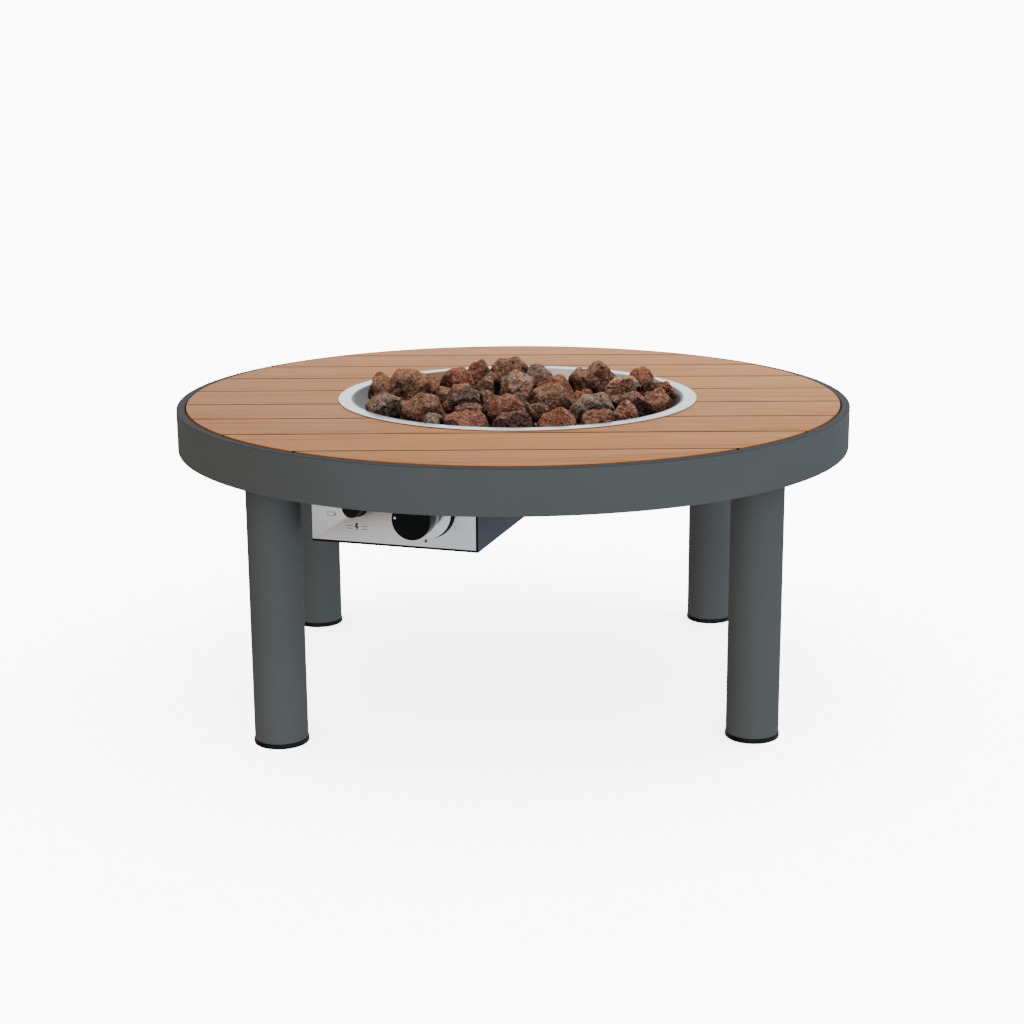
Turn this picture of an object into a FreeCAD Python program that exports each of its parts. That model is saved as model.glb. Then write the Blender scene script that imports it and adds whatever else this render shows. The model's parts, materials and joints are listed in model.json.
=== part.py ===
import FreeCAD, Part
import math
import os
import random

Vector = FreeCAD.Vector

# A low round gas fire table. Millimetres, +Z up.
# The origin is on the floor under the middle of the top, and the controls face -Y.

# Rim band and deck boards
band_diameter = 1067.0
band_top = 466.0
band_height = 66.0
band_wall = 3.0
band_lip = 13.0
band_edge_radius = 1.2
board_width = 114.3
board_gap = 4.1
board_thickness = 20.0
board_rise = 1.5
board_bevel = 1.0
board_edge_gap = 2.5

# Aluminium frame under the boards
beam_width = 40.0
beam_height = 30.0
beam_wall = 2.5
outer_beam_width = 30.0
outer_beam_inset = 60.5
batten_width = 40.0
batten_thickness = 8.0
batten_place = 150.0
weld_gap = 0.2

# Screws that hold the boards from below
board_screw_radius = 2.4
board_screw_head_radius = 4.5
board_screw_head_height = 2.5
board_screw_length = 18.0
board_screw_clearance = 0.05
screw_access_radius = 6.0
batten_screw_inset = 30.0

# Legs
leg_inset = 63.84
leg_angle = 40.585
leg_radius = 39.8
leg_wall = 3.0
leg_flange_margin = 6.2
leg_flange_thickness = 6.0
leg_pad_thickness = 8.0
leg_bolt_radius = 4.0
leg_bolt_head_radius = 6.6
leg_bolt_head_height = 4.4
leg_bolt_length = 13.0
leg_bolt_inset = 12.0
bolt_hole_clearance = 0.4
thread_clearance = 0.05
socket_depth = 2.4
socket_flats = 5.0

# Foot caps
foot_lip_radius = 41.0
foot_height = 7.5
foot_edge = 1.5
foot_plug_depth = 20.0
foot_plug_wall = 3.0
foot_plug_clearance = 0.15
foot_base = 4.0

# Fire bowl
bowl_offset_x = 5.4
flange_inner_radius = 264.7
flange_width = 22.0
bowl_hole_gap = 11.3
bowl_sheet = 1.5
bowl_depth = 65.0
bowl_rim_slope = 45.0
bowl_bend_radius = 4.0
weep_hole_radius = 4.0
weep_hole_place = 28.0
weep_hole_count = 6

# Burner
burner_reach = 17.2
burner_tube_radius = 8.0
burner_tube_wall = 1.2
burner_lift = 3.0
port_radius = 1.6
port_count = 24
hub_radius = 16.0
nipple_radius = 10.0
nipple_length = 16.8
nipple_bore = 7.0
hub_clearance = 0.3
lock_nut_flats = 15.0
lock_nut_height = 6.0
elbow_radius = 13.0
elbow_bore = 8.0
elbow_top_gap = 2.0
elbow_socket = 9.0
elbow_reach = 28.0
mixer_socket = 8.0
mixer_radius = 11.0
mixer_wall = 2.0
mixer_length = 60.0
mixer_slot_width = 7.0
mixer_slot_length = 14.0
orifice_flats = 11.0
orifice_thickness = 10.0
orifice_spigot = 6.0
orifice_radius = 1.0

# Ignition bracket inside the bowl
hood_width = 60.0
hood_depth = 36.0
hood_height = 32.0
hood_sheet = 1.5
hood_edge_gap = 9.8
hood_screw_place = 7.0
probe_place = 20.0
probe_drop = 14.5
electrode_radius = 4.0
electrode_rod_radius = 1.2
electrode_tip = 8.0
probe_hole_clearance = 0.2
thermocouple_radius = 3.2
probe_height = 15.0
probe_collar = 2.0

# Control box, in its own frame: x along the panel, y from the panel to the bowl
box_turn = 18.0
panel_setback = 95.1
box_bottom = 322.0
box_width = 252.0
valve_from_left = 177.3
box_height = 89.0
box_depth = 230.0
box_sheet = 1.5
box_flange = 12.0
panel_height = 105.0
panel_sheet = 1.2
panel_margin_left = 0.8
panel_margin_right = 3.0
panel_margin_bottom = 3.5
lid_sheet = 1.2
control_height = 58.0

# Small screws of the control box, all one size
screw_radius = 2.0
screw_head_radius = 3.8
screw_head_height = 2.4
screw_length = 10.0
screw_inset = 8.0

# Hangers between the control box and the frame
hanger_width = 30.0
hanger_sheet = 2.0
hanger_depth = 20.0
hanger_rise = 26.0
side_hanger_inset = 30.0
front_hanger_setback = 40.0

# Gas valve and knob
bonnet_radius = 20.0
bonnet_thickness = 4.0
valve_flange = 6.0
valve_radius = 15.0
valve_length = 34.7
valve_screw_place = 14.5
spring_cavity_radius = 9.0
spring_cavity_depth = 22.0
stem_radius = 4.0
stem_flat = 2.6
stem_tail = 12.0
stem_end_gap = 5.0
stem_shoulder_radius = 6.0
stem_shoulder = 1.5
running_clearance = 0.08
collar_thickness = 2.0
collar_clearance = 0.4
stop_gap = 0.3
push_travel = 3.0
spring_wire = 0.7
spring_turns = 6.0
bezel_radius = 41.3
bezel_height = 12.0
bezel_wall = 3.8
bezel_ledge = 8.0
bezel_plate = 1.5
bezel_lip = 1.8
bezel_fit = 0.1
knob_radius = 28.3
knob_rear_radius = 25.0
knob_rear = 18.0
knob_waist = 41.6
knob_front = 67.0
knob_edge = 1.6
knob_hub_radius = 8.0
knob_hub_rear = 13.5
knob_bore_depth = 38.0
knob_fit = 0.04
dot_radius = 1.9
dot_place = 23.3
dot_depth = 1.0

# Igniter
igniter_place = 105.7
igniter_flange_radius = 17.0
igniter_flange = 3.0
igniter_radius = 11.2
igniter_neck = 21.0
igniter_neck_wall = 1.5
igniter_hole_clearance = 0.2
igniter_cap_radius = 13.9
igniter_cap_front = 25.0
igniter_cap_rear = 4.0
igniter_cap_wall = 2.5
igniter_cap_clearance = 0.1
button_radius = 8.0
button_clearance = 0.3
button_proud = 2.5
button_flange_radius = 9.3
button_flange = 3.0
button_travel = 3.5
button_edge = 1.2
igniter_spring_wire = 0.5
igniter_spring_radius = 4.0
igniter_spring_turns = 5.0
battery_radius = 5.25
battery_length = 44.5
battery_front = 7.0
battery_clearance = 0.25
battery_nub_radius = 1.9
battery_nub = 0.8
igniter_end_wall = 2.5
igniter_nut_thickness = 4.0
terminal_radius = 2.0
terminal_length = 5.0

# Gas line
line_radius = 4.75
line_wall = 1.0
line_bend = 30.0
nipple_flare_radius = 7.0
flare_nipple_length = 14.0
flare_nut_flats = 9.5
flare_nut_grip = 12.0
flare_nut_tail = 8.0
flare_nut_clearance = 0.05
valve_inlet_depth = 30.4
inlet_place = 70.0
inlet_radius = 7.94
inlet_length = 14.0
inlet_hex_flats = 11.0
inlet_hex = 8.0
inlet_wall_clearance = 0.2
inlet_bore = 4.0

# Leads that the table holds all the way
igniter_lead_radius = 1.5
thermocouple_lead_radius = 1.0
lead_drop = 41.0
lead_run = 34.4
magnet_run = 17.0
grommet_flange = 2.0
grommet_thickness = 4.5
grommet_bore_clearance = 0.8
grommet_hole_radius = 6.5

# Lava stones
stone_gap = 0.3
stone_corners = 17
stone_roughness = 0.24
stone_least_height = 6.0
stone_ripple = 3.0
ring_sides = 48
tube_step_count = 15

# Places that follow from the sizes above
band_radius = band_diameter / 2
wall_inner_radius = band_radius - band_wall
lip_inner_radius = band_radius - band_lip
deck_radius = lip_inner_radius - board_edge_gap
band_bottom = band_top - band_height
deck_top = band_top + board_rise
deck_under = deck_top - board_thickness
board_pitch = board_width + board_gap
beam_under = deck_under - beam_height
batten_under = deck_under - batten_thickness
leg_pad_under = beam_under - leg_pad_thickness
leg_top = leg_pad_under - leg_flange_thickness
leg_distance = wall_inner_radius - leg_inset
leg_x = leg_distance * math.cos(math.radians(leg_angle))
leg_y = leg_distance * math.sin(math.radians(leg_angle))
outer_beam_place = wall_inner_radius - outer_beam_inset
leg_flange_half = leg_radius + leg_flange_margin
leg_bolt_place = leg_flange_half - leg_bolt_inset
flange_outer_radius = flange_inner_radius + flange_width
bowl_hole_radius = flange_inner_radius + bowl_hole_gap
flange_under = deck_top
flange_top = flange_under + bowl_sheet
bowl_floor = flange_top - bowl_depth
bowl_floor_under = bowl_floor - bowl_sheet
floor_to_rim = flange_top - bowl_bend_radius - bowl_floor
rim_slope = math.radians(bowl_rim_slope)
wall_top = flange_top - bowl_bend_radius * (1 - math.cos(rim_slope))
wall_top_radius = flange_inner_radius - bowl_bend_radius * math.sin(rim_slope)
wall_arc = (wall_top - bowl_floor) / (1 - math.cos(rim_slope))
bowl_flat_radius = wall_top_radius - wall_arc * math.sin(rim_slope)
burner_radius = bowl_flat_radius + burner_reach
burner_height = bowl_floor + burner_lift + burner_tube_radius
hood_place = bowl_flat_radius - hood_edge_gap - hood_depth / 2
hub_hole_radius = nipple_radius + hub_clearance
nipple_bottom = bowl_floor_under - nipple_length
elbow_top = bowl_floor_under - lock_nut_height - elbow_top_gap
control_z = box_bottom + control_height
panel_face = panel_setback - lip_inner_radius
wall_front = panel_face + panel_sheet
wall_back = wall_front + box_sheet
box_rear = panel_face + box_depth
box_left = -valve_from_left
box_right = box_left + box_width
box_top = box_bottom + box_height
lid_top = box_top + lid_sheet
bonnet_back = wall_back + bonnet_thickness
valve_back = bonnet_back + valve_flange + valve_length
valve_tip = valve_back + flare_nipple_length
valve_inlet_y = panel_face + valve_inlet_depth
mixer_front = -(elbow_reach - mixer_socket) - mixer_length
orifice_front = mixer_front - orifice_thickness
orifice_tip = orifice_front - flare_nipple_length
igniter_x = -igniter_place
battery_back = panel_face - battery_front + battery_length
igniter_back = battery_back + igniter_end_wall
inlet_x = -inlet_place
inlet_tip = box_rear - box_sheet - flare_nut_grip

# Which corner of the table each leg stands at
corners = {
    "front_left": (-1, -1),
    "front_right": (1, -1),
    "rear_left": (-1, 1),
    "rear_right": (1, 1),
}

# Stones that show: place from the bowl's middle, width, depth, crown above the flange, turn
shown_stones = [
    (-130, -194, 34, 34, 5, 40),
    (-78, -206, 70, 44, 7, 5),
    (-8, -213, 58, 42, 11, -8),
    (56, -204, 60, 52, 18, 12),
    (119, -192, 56, 46, 9, 8),
    (162, -156, 34, 34, 12, 30),
    (-205, -98, 56, 50, 17, 25),
    (-73, -158, 58, 50, 15, -12),
    (-146, -142, 80, 62, 25, -15),
    (27, -146, 36, 40, 12, 20),
    (-20, -162, 64, 52, 27, 35),
    (116, -128, 62, 56, 20, -10),
    (168, -98, 62, 54, 19, 18),
    (219, -52, 42, 50, 16, 5),
    (236, 36, 28, 38, 11, 0),
    (-52, -62, 42, 42, 18, 15),
    (3, -98, 34, 42, 19, -10),
    (55, -88, 66, 54, 28, -30),
    (100, -50, 38, 42, 15, 10),
    (-84, -92, 56, 56, 30, 22),
    (-190, -28, 92, 76, 44, 10),
    (-148, 28, 56, 56, 25, -20),
    (-104, -22, 50, 50, 14, 33),
    (60, 8, 66, 52, 25, -18),
    (-52, 42, 54, 52, 24, 28),
    (-5, 18, 56, 52, 33, -8),
    (-98, 92, 46, 46, 25, 15),
    (34, 104, 48, 48, 26, -30),
    (170, 24, 58, 56, 26, 22),
    (68, 70, 36, 42, 13, 12),
    (122, 92, 72, 60, 36, -14),
    (-66, 130, 44, 46, 31, 10),
    (-10, 138, 62, 54, 36, 6),
    (206, 76, 48, 56, 25, 30),
    (213, 2, 34, 44, 22, -12),
]

# Routes of the two leads between their ends, in the control box's frame
igniter_lead_route = [
    (-24, -138, 337),
    (-26, -173, 340),
    (-28, -219, 339),
    (-44, -262, 335),
    (-80, -306, 352),
]
thermocouple_lead_route = [
    (24, -138, 340),
    (25, -173, 344),
    (27, -219, 345),
    (36, -262, 348),
    (43, -305, 360),
    (46, -352, 374),
]


def block(x0, x1, y0, y1, z0, z1):
    return Part.makeBox(x1 - x0, y1 - y0, z1 - z0, Vector(x0, y0, z0))


def post(radius, z0, z1, x=0.0, y=0.0):
    return Part.makeCylinder(radius, z1 - z0, Vector(x, y, z0))


def rod(radius, y0, y1, x=0.0, z=0.0):
    return Part.makeCylinder(radius, y1 - y0, Vector(x, y0, z), Vector(0, 1, 0))


def side_rod(radius, x0, x1, y=0.0, z=0.0):
    return Part.makeCylinder(radius, x1 - x0, Vector(x0, y, z), Vector(1, 0, 0))


def tube(outer, inner, z0, z1, x=0.0, y=0.0):
    return post(outer, z0, z1, x, y).cut(post(inner, z0, z1, x, y))


def sleeve(outer, inner, y0, y1, x=0.0, z=0.0):
    return rod(outer, y0, y1, x, z).cut(rod(inner, y0, y1, x, z))


def hexagon(flats, z0, z1):
    """A hexagonal prism about Z, with half the distance across its flats."""
    reach = flats / math.cos(math.pi / 6)
    points = []
    for step in range(7):
        angle = step * math.pi / 3
        points.append(Vector(reach * math.cos(angle), reach * math.sin(angle), z0))
    return Part.Face(Part.makePolygon(points)).extrude(Vector(0, 0, z1 - z0))


def along_y(shape, y, x=0.0, z=0.0):
    """Lay a shape made along +Z down along +Y, with its foot at the given place."""
    laid = shape.copy()
    laid.rotate(Vector(0, 0, 0), Vector(1, 0, 0), -90)
    laid.translate(Vector(x, y, z))
    return laid


def turned(start, *steps):
    """Turn a closed outline of (radius, height) about Z. A step of four numbers is an arc."""
    edges = []
    here = Vector(start[0], 0, start[1])
    for step in steps + (start,):
        there = Vector(step[-2], 0, step[-1])
        if len(step) == 4:
            edges.append(Part.Arc(here, Vector(step[0], 0, step[1]), there).toShape())
        elif (there - here).Length > 1e-6:
            edges.append(Part.makeLine(here, there))
        here = there
    return Part.Face(Part.Wire(edges)).revolve(Vector(0, 0, 0), Vector(0, 0, 1), 360)


def fused(shapes):
    result = shapes[0]
    for shape in shapes[1:]:
        result = result.fuse(shape)
    return result.removeSplitter()


def less(shape, cutters):
    for cutter in cutters:
        shape = shape.cut(cutter)
    return shape


def group(shapes):
    return Part.makeCompound(shapes)


def in_bowl(shape):
    """Move a shape made about the bowl's own middle to its place in the table."""
    moved = shape.copy()
    moved.translate(Vector(bowl_offset_x, 0, 0))
    return moved


def in_box(shape):
    """Turn a shape from the control box's frame to the table's frame."""
    moved = shape.copy()
    moved.rotate(Vector(0, 0, 0), Vector(0, 0, 1), -box_turn)
    moved.translate(Vector(bowl_offset_x, 0, 0))
    return moved


def box_place(x, y):
    """Where a point of the table lies in the control box's frame."""
    turn = math.radians(box_turn)
    dx = x - bowl_offset_x
    return (dx * math.cos(turn) - y * math.sin(turn), dx * math.sin(turn) + y * math.cos(turn))


# The rim: a rolled channel, open towards the middle

def rim_band():
    soft = band_edge_radius
    near = soft * (1 - math.sqrt(0.5))
    return turned(
        (band_radius - soft, band_top),
        (band_radius - near, band_top - near, band_radius, band_top - soft),
        (band_radius, band_bottom + soft),
        (band_radius - near, band_bottom + near, band_radius - soft, band_bottom),
        (lip_inner_radius, band_bottom),
        (lip_inner_radius, band_bottom + band_wall),
        (wall_inner_radius, band_bottom + band_wall),
        (wall_inner_radius, band_top - band_wall),
        (lip_inner_radius, band_top - band_wall),
        (lip_inner_radius, band_top),
    )


# Screws from below, as (x, y, height of the face that the head bears on)

def board_screw_places():
    on_beam = deck_under - beam_wall
    on_batten = batten_under
    row = board_pitch
    places = []
    for side in (-1, 1):
        places.append((side * leg_x, 0, on_beam))
        places.append((side * outer_beam_place, 0, on_beam))
    quarter = [
        (leg_x, row, on_beam),
        (outer_beam_place, row, on_beam),
        (leg_x, 1.77 * row, on_beam),
        (1.67 * batten_place, bowl_hole_radius, on_beam),
        (0.67 * batten_place, bowl_hole_radius, on_beam),
    ]
    quarter.extend((batten_place, y, on_batten) for y in batten_screw_places())
    for x, y, seat in quarter:
        for side_x in (-1, 1):
            for side_y in (-1, 1):
                places.append((side_x * x, side_y * y, seat))
    return places


def batten_screw_places():
    """Two screws in each board over a batten, or one where the board is narrow there."""
    batten_start = bowl_hole_radius + beam_width / 2
    deck_edge = math.sqrt(deck_radius ** 2 - (batten_place + batten_width / 2) ** 2)
    places = []
    for row in range(1, math.ceil(deck_radius / board_pitch - 0.5) + 1):
        low = max((row - 0.5) * board_pitch + board_gap / 2, batten_start)
        high = min((row + 0.5) * board_pitch - board_gap / 2, deck_edge)
        if high - low > 3 * batten_screw_inset:
            places.extend([low + batten_screw_inset, high - batten_screw_inset])
        elif high - low > 4 * board_screw_head_radius:
            places.append((low + high) / 2)
    return places


def board_screw(x, y, seat):
    head = post(board_screw_head_radius, seat - board_screw_head_height, seat, x, y)
    return fused([head, post(board_screw_radius, seat, seat + board_screw_length, x, y)])


def screw_holes(bottom):
    """Holes for every board screw, with the way in for its head from the given height."""
    holes = []
    hole_radius = board_screw_radius + board_screw_clearance
    for x, y, seat in board_screw_places():
        end = seat + board_screw_length + board_screw_clearance
        holes.append(post(hole_radius, seat - 1, end, x, y))
        if bottom < seat - board_screw_head_height:
            holes.append(post(screw_access_radius, bottom - 1, seat - board_screw_head_height, x, y))
    return holes


def touching(shape, cutters):
    box = shape.BoundBox
    return [cutter for cutter in cutters if box.intersect(cutter.BoundBox)]


# Deck boards

def board(row):
    low = (row - 0.5) * board_pitch + board_gap / 2
    high = low + board_width
    bevel = board_bevel
    profile = [
        (low, deck_under),
        (high, deck_under),
        (high, deck_top - bevel),
        (high - bevel, deck_top),
        (low + bevel, deck_top),
        (low, deck_top - bevel),
        (low, deck_under),
    ]
    points = [Vector(-band_radius, y, z) for y, z in profile]
    plank = Part.Face(Part.makePolygon(points)).extrude(Vector(band_diameter, 0, 0))
    rim = turned(
        (0, deck_under),
        (deck_radius, deck_under),
        (deck_radius, deck_top - bevel),
        (deck_radius - bevel, deck_top),
        (0, deck_top),
    )
    plank = plank.common(rim).cut(post(bowl_hole_radius, deck_under - 1, deck_top + 1))
    plank = less(plank, touching(plank, screw_holes(deck_under)))
    return group(plank.Solids)


def boards():
    nodes = {}
    reach = math.ceil(deck_radius / board_pitch - 0.5)
    for number, row in enumerate(range(-reach, reach + 1), start=1):
        nodes["slat_" + str(number)] = board(row)
    return nodes


# The frame under the boards

def beam(x0, x1, y0, y1, along):
    wall = beam_wall
    inner_x = 0 if along == "x" else wall
    inner_y = 0 if along == "y" else wall
    outside = block(x0, x1, y0, y1, beam_under, deck_under)
    hollow = block(x0 + inner_x, x1 - inner_x, y0 + inner_y, y1 - inner_y, beam_under + wall, deck_under - wall)
    return outside.cut(hollow)


def frame():
    room = post(wall_inner_radius - weld_gap, band_bottom, deck_top)
    holes = screw_holes(beam_under) + hanger_screw_holes()
    half = beam_width / 2
    mains = []
    outers = []
    crosses = []
    battens = []
    for side in (-1, 1):
        x = side * leg_x
        mains.append(beam(x - half, x + half, -band_radius, band_radius, "y").common(room))
        x = side * outer_beam_place
        outer_half = outer_beam_width / 2
        outers.append(beam(x - outer_half, x + outer_half, -band_radius, band_radius, "y").common(room))
        y = side * bowl_hole_radius
        crosses.append(beam(-leg_x + half, leg_x - half, y - half, y + half, "x"))
        for side_y in (-1, 1):
            near = side_y * (bowl_hole_radius + half)
            far = side_y * band_radius
            x = side * batten_place
            flat = block(x - batten_width / 2, x + batten_width / 2, min(near, far), max(near, far),
                         batten_under, deck_under)
            battens.append(flat.common(room))
    parts = {"main_beams": mains, "outer_beams": outers, "cross_beams": crosses, "slat_battens": battens}
    return {name: group([less(piece, touching(piece, holes)) for piece in pieces])
            for name, pieces in parts.items()}


# Legs, their bolts and their foot caps

def leg_bolt_places():
    place = leg_bolt_place
    return [(-place, -place), (place, -place), (-place, place), (place, place)]


def at_leg(shape, side_x, side_y):
    """Turn a shape made about Z to face outwards, and stand it at one leg."""
    moved = shape.copy()
    moved.rotate(Vector(0, 0, 0), Vector(0, 0, 1), math.degrees(math.atan2(side_y * leg_y, side_x * leg_x)))
    moved.translate(Vector(side_x * leg_x, side_y * leg_y, 0))
    return moved


def square_plate(half, z0, z1, hole_radius):
    holes = [post(hole_radius, z0 - 1, z1 + 1, x, y) for x, y in leg_bolt_places()]
    return less(block(-half, half, -half, half, z0, z1), holes)


def leg_bolt(x, y):
    seat = leg_top
    head = post(leg_bolt_head_radius, seat - leg_bolt_head_height, seat, x, y)
    socket = hexagon(socket_flats / 2, seat - leg_bolt_head_height - 1, seat - leg_bolt_head_height + socket_depth)
    socket.translate(Vector(x, y, 0))
    shank = post(leg_bolt_radius, seat, seat + leg_bolt_length, x, y)
    return fused([head, shank]).cut(socket)


def foot_cap():
    bore = leg_radius - leg_wall
    plug = bore - foot_plug_clearance
    return turned(
        (0, 0),
        (foot_lip_radius - foot_edge, 0),
        (foot_lip_radius, foot_edge),
        (foot_lip_radius, foot_height),
        (plug, foot_height),
        (plug, foot_height + foot_plug_depth),
        (plug - foot_plug_wall, foot_height + foot_plug_depth),
        (plug - foot_plug_wall, foot_base),
        (0, foot_base),
    )


def legs():
    nodes = {}
    pads = []
    flanges = []
    bolts = []
    caps = []
    half = leg_flange_half
    for name, (side_x, side_y) in corners.items():
        nodes["leg_" + name] = at_leg(tube(leg_radius, leg_radius - leg_wall, foot_height, leg_top), side_x, side_y)
        caps.append(at_leg(foot_cap(), side_x, side_y))
        pad = square_plate(half, leg_pad_under, beam_under, leg_bolt_radius + thread_clearance)
        pads.append(at_leg(pad, side_x, side_y))
        flange = square_plate(half, leg_top, leg_pad_under, leg_bolt_radius + bolt_hole_clearance)
        flanges.append(at_leg(flange, side_x, side_y))
        bolts.extend(at_leg(leg_bolt(x, y), side_x, side_y) for x, y in leg_bolt_places())
    nodes["leg_pads"] = group(pads)
    nodes["leg_flanges"] = group(flanges)
    nodes["leg_bolts"] = group(bolts)
    nodes["foot_caps"] = group(caps)
    return nodes


# Fire bowl: a spun dish with a flat flange

def around(radius, angle):
    return (radius * math.cos(angle), radius * math.sin(angle))


def fire_bowl():
    wall_centre = bowl_floor + wall_arc
    bend_centre = flange_top - bowl_bend_radius

    def on_wall(arc, angle):
        return (bowl_flat_radius + arc * math.sin(angle), wall_centre - arc * math.cos(angle))

    def on_bend(arc, angle):
        return (flange_inner_radius - arc * math.sin(angle), bend_centre + arc * math.cos(angle))

    under_arc = wall_arc + bowl_sheet
    under_bend = bowl_bend_radius - bowl_sheet
    half_way = rim_slope / 2
    dish = turned(
        (hub_hole_radius, bowl_floor),
        (bowl_flat_radius, bowl_floor),
        on_wall(wall_arc, half_way) + on_wall(wall_arc, rim_slope),
        on_bend(bowl_bend_radius, half_way) + (flange_inner_radius, flange_top),
        (flange_outer_radius, flange_top),
        (flange_outer_radius, flange_under),
        (flange_inner_radius, flange_under),
        on_bend(under_bend, half_way) + on_bend(under_bend, rim_slope),
        on_wall(under_arc, half_way) + (bowl_flat_radius, bowl_floor_under),
        (hub_hole_radius, bowl_floor_under),
    )
    holes = []
    for step in range(weep_hole_count):
        x, y = around(weep_hole_place, math.radians(15) + step * 2 * math.pi / weep_hole_count)
        holes.append(post(weep_hole_radius, bowl_floor_under - 1, bowl_floor + 1, x, y))
    dish = less(dish, holes)
    probe_holes = [
        post(electrode_radius + probe_hole_clearance, bowl_floor_under - 1, bowl_floor + 1, -probe_place, -hood_place),
        post(thermocouple_radius + probe_hole_clearance, bowl_floor_under - 1, bowl_floor + 1, probe_place, -hood_place),
    ]
    for side in (-1, 1):
        probe_holes.append(post(screw_radius + thread_clearance, bowl_floor_under - 1, bowl_floor + 1,
                                side * hood_screw_place, -hood_place))
    return in_bowl(dish).cut(group([in_box(hole) for hole in probe_holes]))


# Burner ring, its hub and what hangs under the bowl

def burner_ring():
    ring = Part.makeTorus(burner_radius, burner_tube_radius)
    ring.translate(Vector(0, 0, burner_height))
    cross = side_rod(burner_tube_radius, -burner_radius, burner_radius, 0, burner_height)
    hub = post(hub_radius, bowl_floor, burner_height + burner_tube_radius)
    nipple = post(nipple_radius, nipple_bottom, bowl_floor)
    solid = ring.fuse(cross).fuse(hub).fuse(nipple)
    inner = burner_tube_radius - burner_tube_wall
    ring_bore = Part.makeTorus(burner_radius, inner)
    ring_bore.translate(Vector(0, 0, burner_height))
    cross_bore = side_rod(inner, -burner_radius, burner_radius, 0, burner_height)
    riser = post(nipple_bore, nipple_bottom - 1, burner_height)
    solid = solid.cut(ring_bore.fuse(cross_bore).fuse(riser))
    ports = []
    for step in range(port_count):
        x, y = around(burner_radius, (step + 0.5) * 2 * math.pi / port_count)
        ports.append(post(port_radius, burner_height, burner_height + burner_tube_radius + 1, x, y))
    return solid.cut(group(ports))


def burner_elbow():
    body = post(elbow_radius, control_z - elbow_radius, elbow_top)
    arm = rod(elbow_radius, -elbow_reach, 0, 0, control_z)
    solid = body.fuse(arm)
    bores = [
        post(nipple_radius + thread_clearance, elbow_top - elbow_socket, elbow_top + 1),
        post(elbow_bore, control_z, elbow_top),
        rod(elbow_bore, -elbow_reach, 0, 0, control_z),
        rod(mixer_radius + thread_clearance, -elbow_reach - 1, -elbow_reach + mixer_socket, 0, control_z),
    ]
    return less(solid, bores)


def air_mixer():
    body = sleeve(mixer_radius, mixer_radius - mixer_wall, mixer_front, mixer_front + mixer_length, 0, control_z)
    slot_start = mixer_front + orifice_spigot + mixer_slot_width
    slots = []
    for turn in (45, 135):
        slot = block(-mixer_radius - 1, mixer_radius + 1, slot_start, slot_start + mixer_slot_length,
                     -mixer_slot_width / 2, mixer_slot_width / 2)
        slot.rotate(Vector(0, 0, 0), Vector(0, 1, 0), turn)
        slot.translate(Vector(0, 0, control_z))
        slots.append(slot)
    return less(body, slots)


def gas_orifice():
    spigot_radius = mixer_radius - mixer_wall - thread_clearance
    hexagonal = along_y(hexagon(orifice_flats, 0, orifice_thickness), orifice_front, 0, control_z)
    spigot = rod(spigot_radius, mixer_front, mixer_front + orifice_spigot, 0, control_z)
    nipple = rod(nipple_flare_radius, orifice_tip, orifice_front, 0, control_z)
    bore = rod(inlet_bore, orifice_tip - 1, orifice_front, 0, control_z)
    jet = rod(orifice_radius, orifice_front, mixer_front + orifice_spigot + 1, 0, control_z)
    return less(fused([hexagonal, spigot, nipple]), [bore, jet])


def burner():
    nut = hexagon(lock_nut_flats, bowl_floor_under - lock_nut_height, bowl_floor_under)
    nut = nut.cut(post(nipple_radius + thread_clearance, nipple_bottom, bowl_floor_under + 1))
    return {
        "burner_ring": in_box(burner_ring()),
        "burner_lock_nut": in_box(nut),
        "burner_elbow": in_box(burner_elbow()),
        "air_mixer": in_box(air_mixer()),
        "gas_orifice": in_box(gas_orifice()),
    }


# Ignition bracket, electrode and thermocouple

def ignition_bracket():
    front = -hood_place - hood_depth / 2
    back = -hood_place + hood_depth / 2
    half = hood_width / 2
    top = bowl_floor + hood_height
    sheet = hood_sheet
    shell = block(-half, half, front, back, bowl_floor, top)
    shell = shell.cut(block(-half + sheet, half - sheet, front - 1, back + 1, bowl_floor + sheet, top - sheet))
    holes = [
        post(electrode_radius + probe_hole_clearance, bowl_floor - 1, bowl_floor + sheet + 1, -probe_place, -hood_place),
        post(thermocouple_radius + probe_hole_clearance, bowl_floor - 1, bowl_floor + sheet + 1, probe_place, -hood_place),
    ]
    for side in (-1, 1):
        holes.append(post(screw_radius + bolt_hole_clearance, bowl_floor - 1, bowl_floor + sheet + 1,
                          side * hood_screw_place, -hood_place))
        # the openings in the roof that a screwdriver and the flame pass through
        holes.append(post(screw_head_radius + 1, top - sheet - 1, top + 1, side * hood_screw_place, -hood_place))
    return less(shell, holes)


def spark_electrode():
    low = bowl_floor_under - probe_drop
    collar_top = bowl_floor + hood_sheet + 2 * hood_sheet
    ceramic = post(electrode_radius, low, bowl_floor + probe_height)
    collar = post(electrode_radius + probe_collar, bowl_floor + hood_sheet, collar_top)
    tip = post(electrode_rod_radius, bowl_floor + probe_height, bowl_floor + probe_height + electrode_tip)
    shape = fused([ceramic, collar, tip])
    shape.translate(Vector(-probe_place, -hood_place, 0))
    return shape


def thermocouple_probe():
    low = bowl_floor_under - probe_drop
    collar_top = bowl_floor + hood_sheet + 2 * hood_sheet
    body = post(thermocouple_radius, low, bowl_floor + probe_height)
    collar = post(thermocouple_radius + probe_collar, bowl_floor + hood_sheet, collar_top)
    tip = Part.makeSphere(thermocouple_radius, Vector(0, 0, bowl_floor + probe_height))
    shape = fused([body, collar, tip])
    shape.translate(Vector(probe_place, -hood_place, 0))
    return shape


# Small screws, made along Z with the head below the seat

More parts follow.
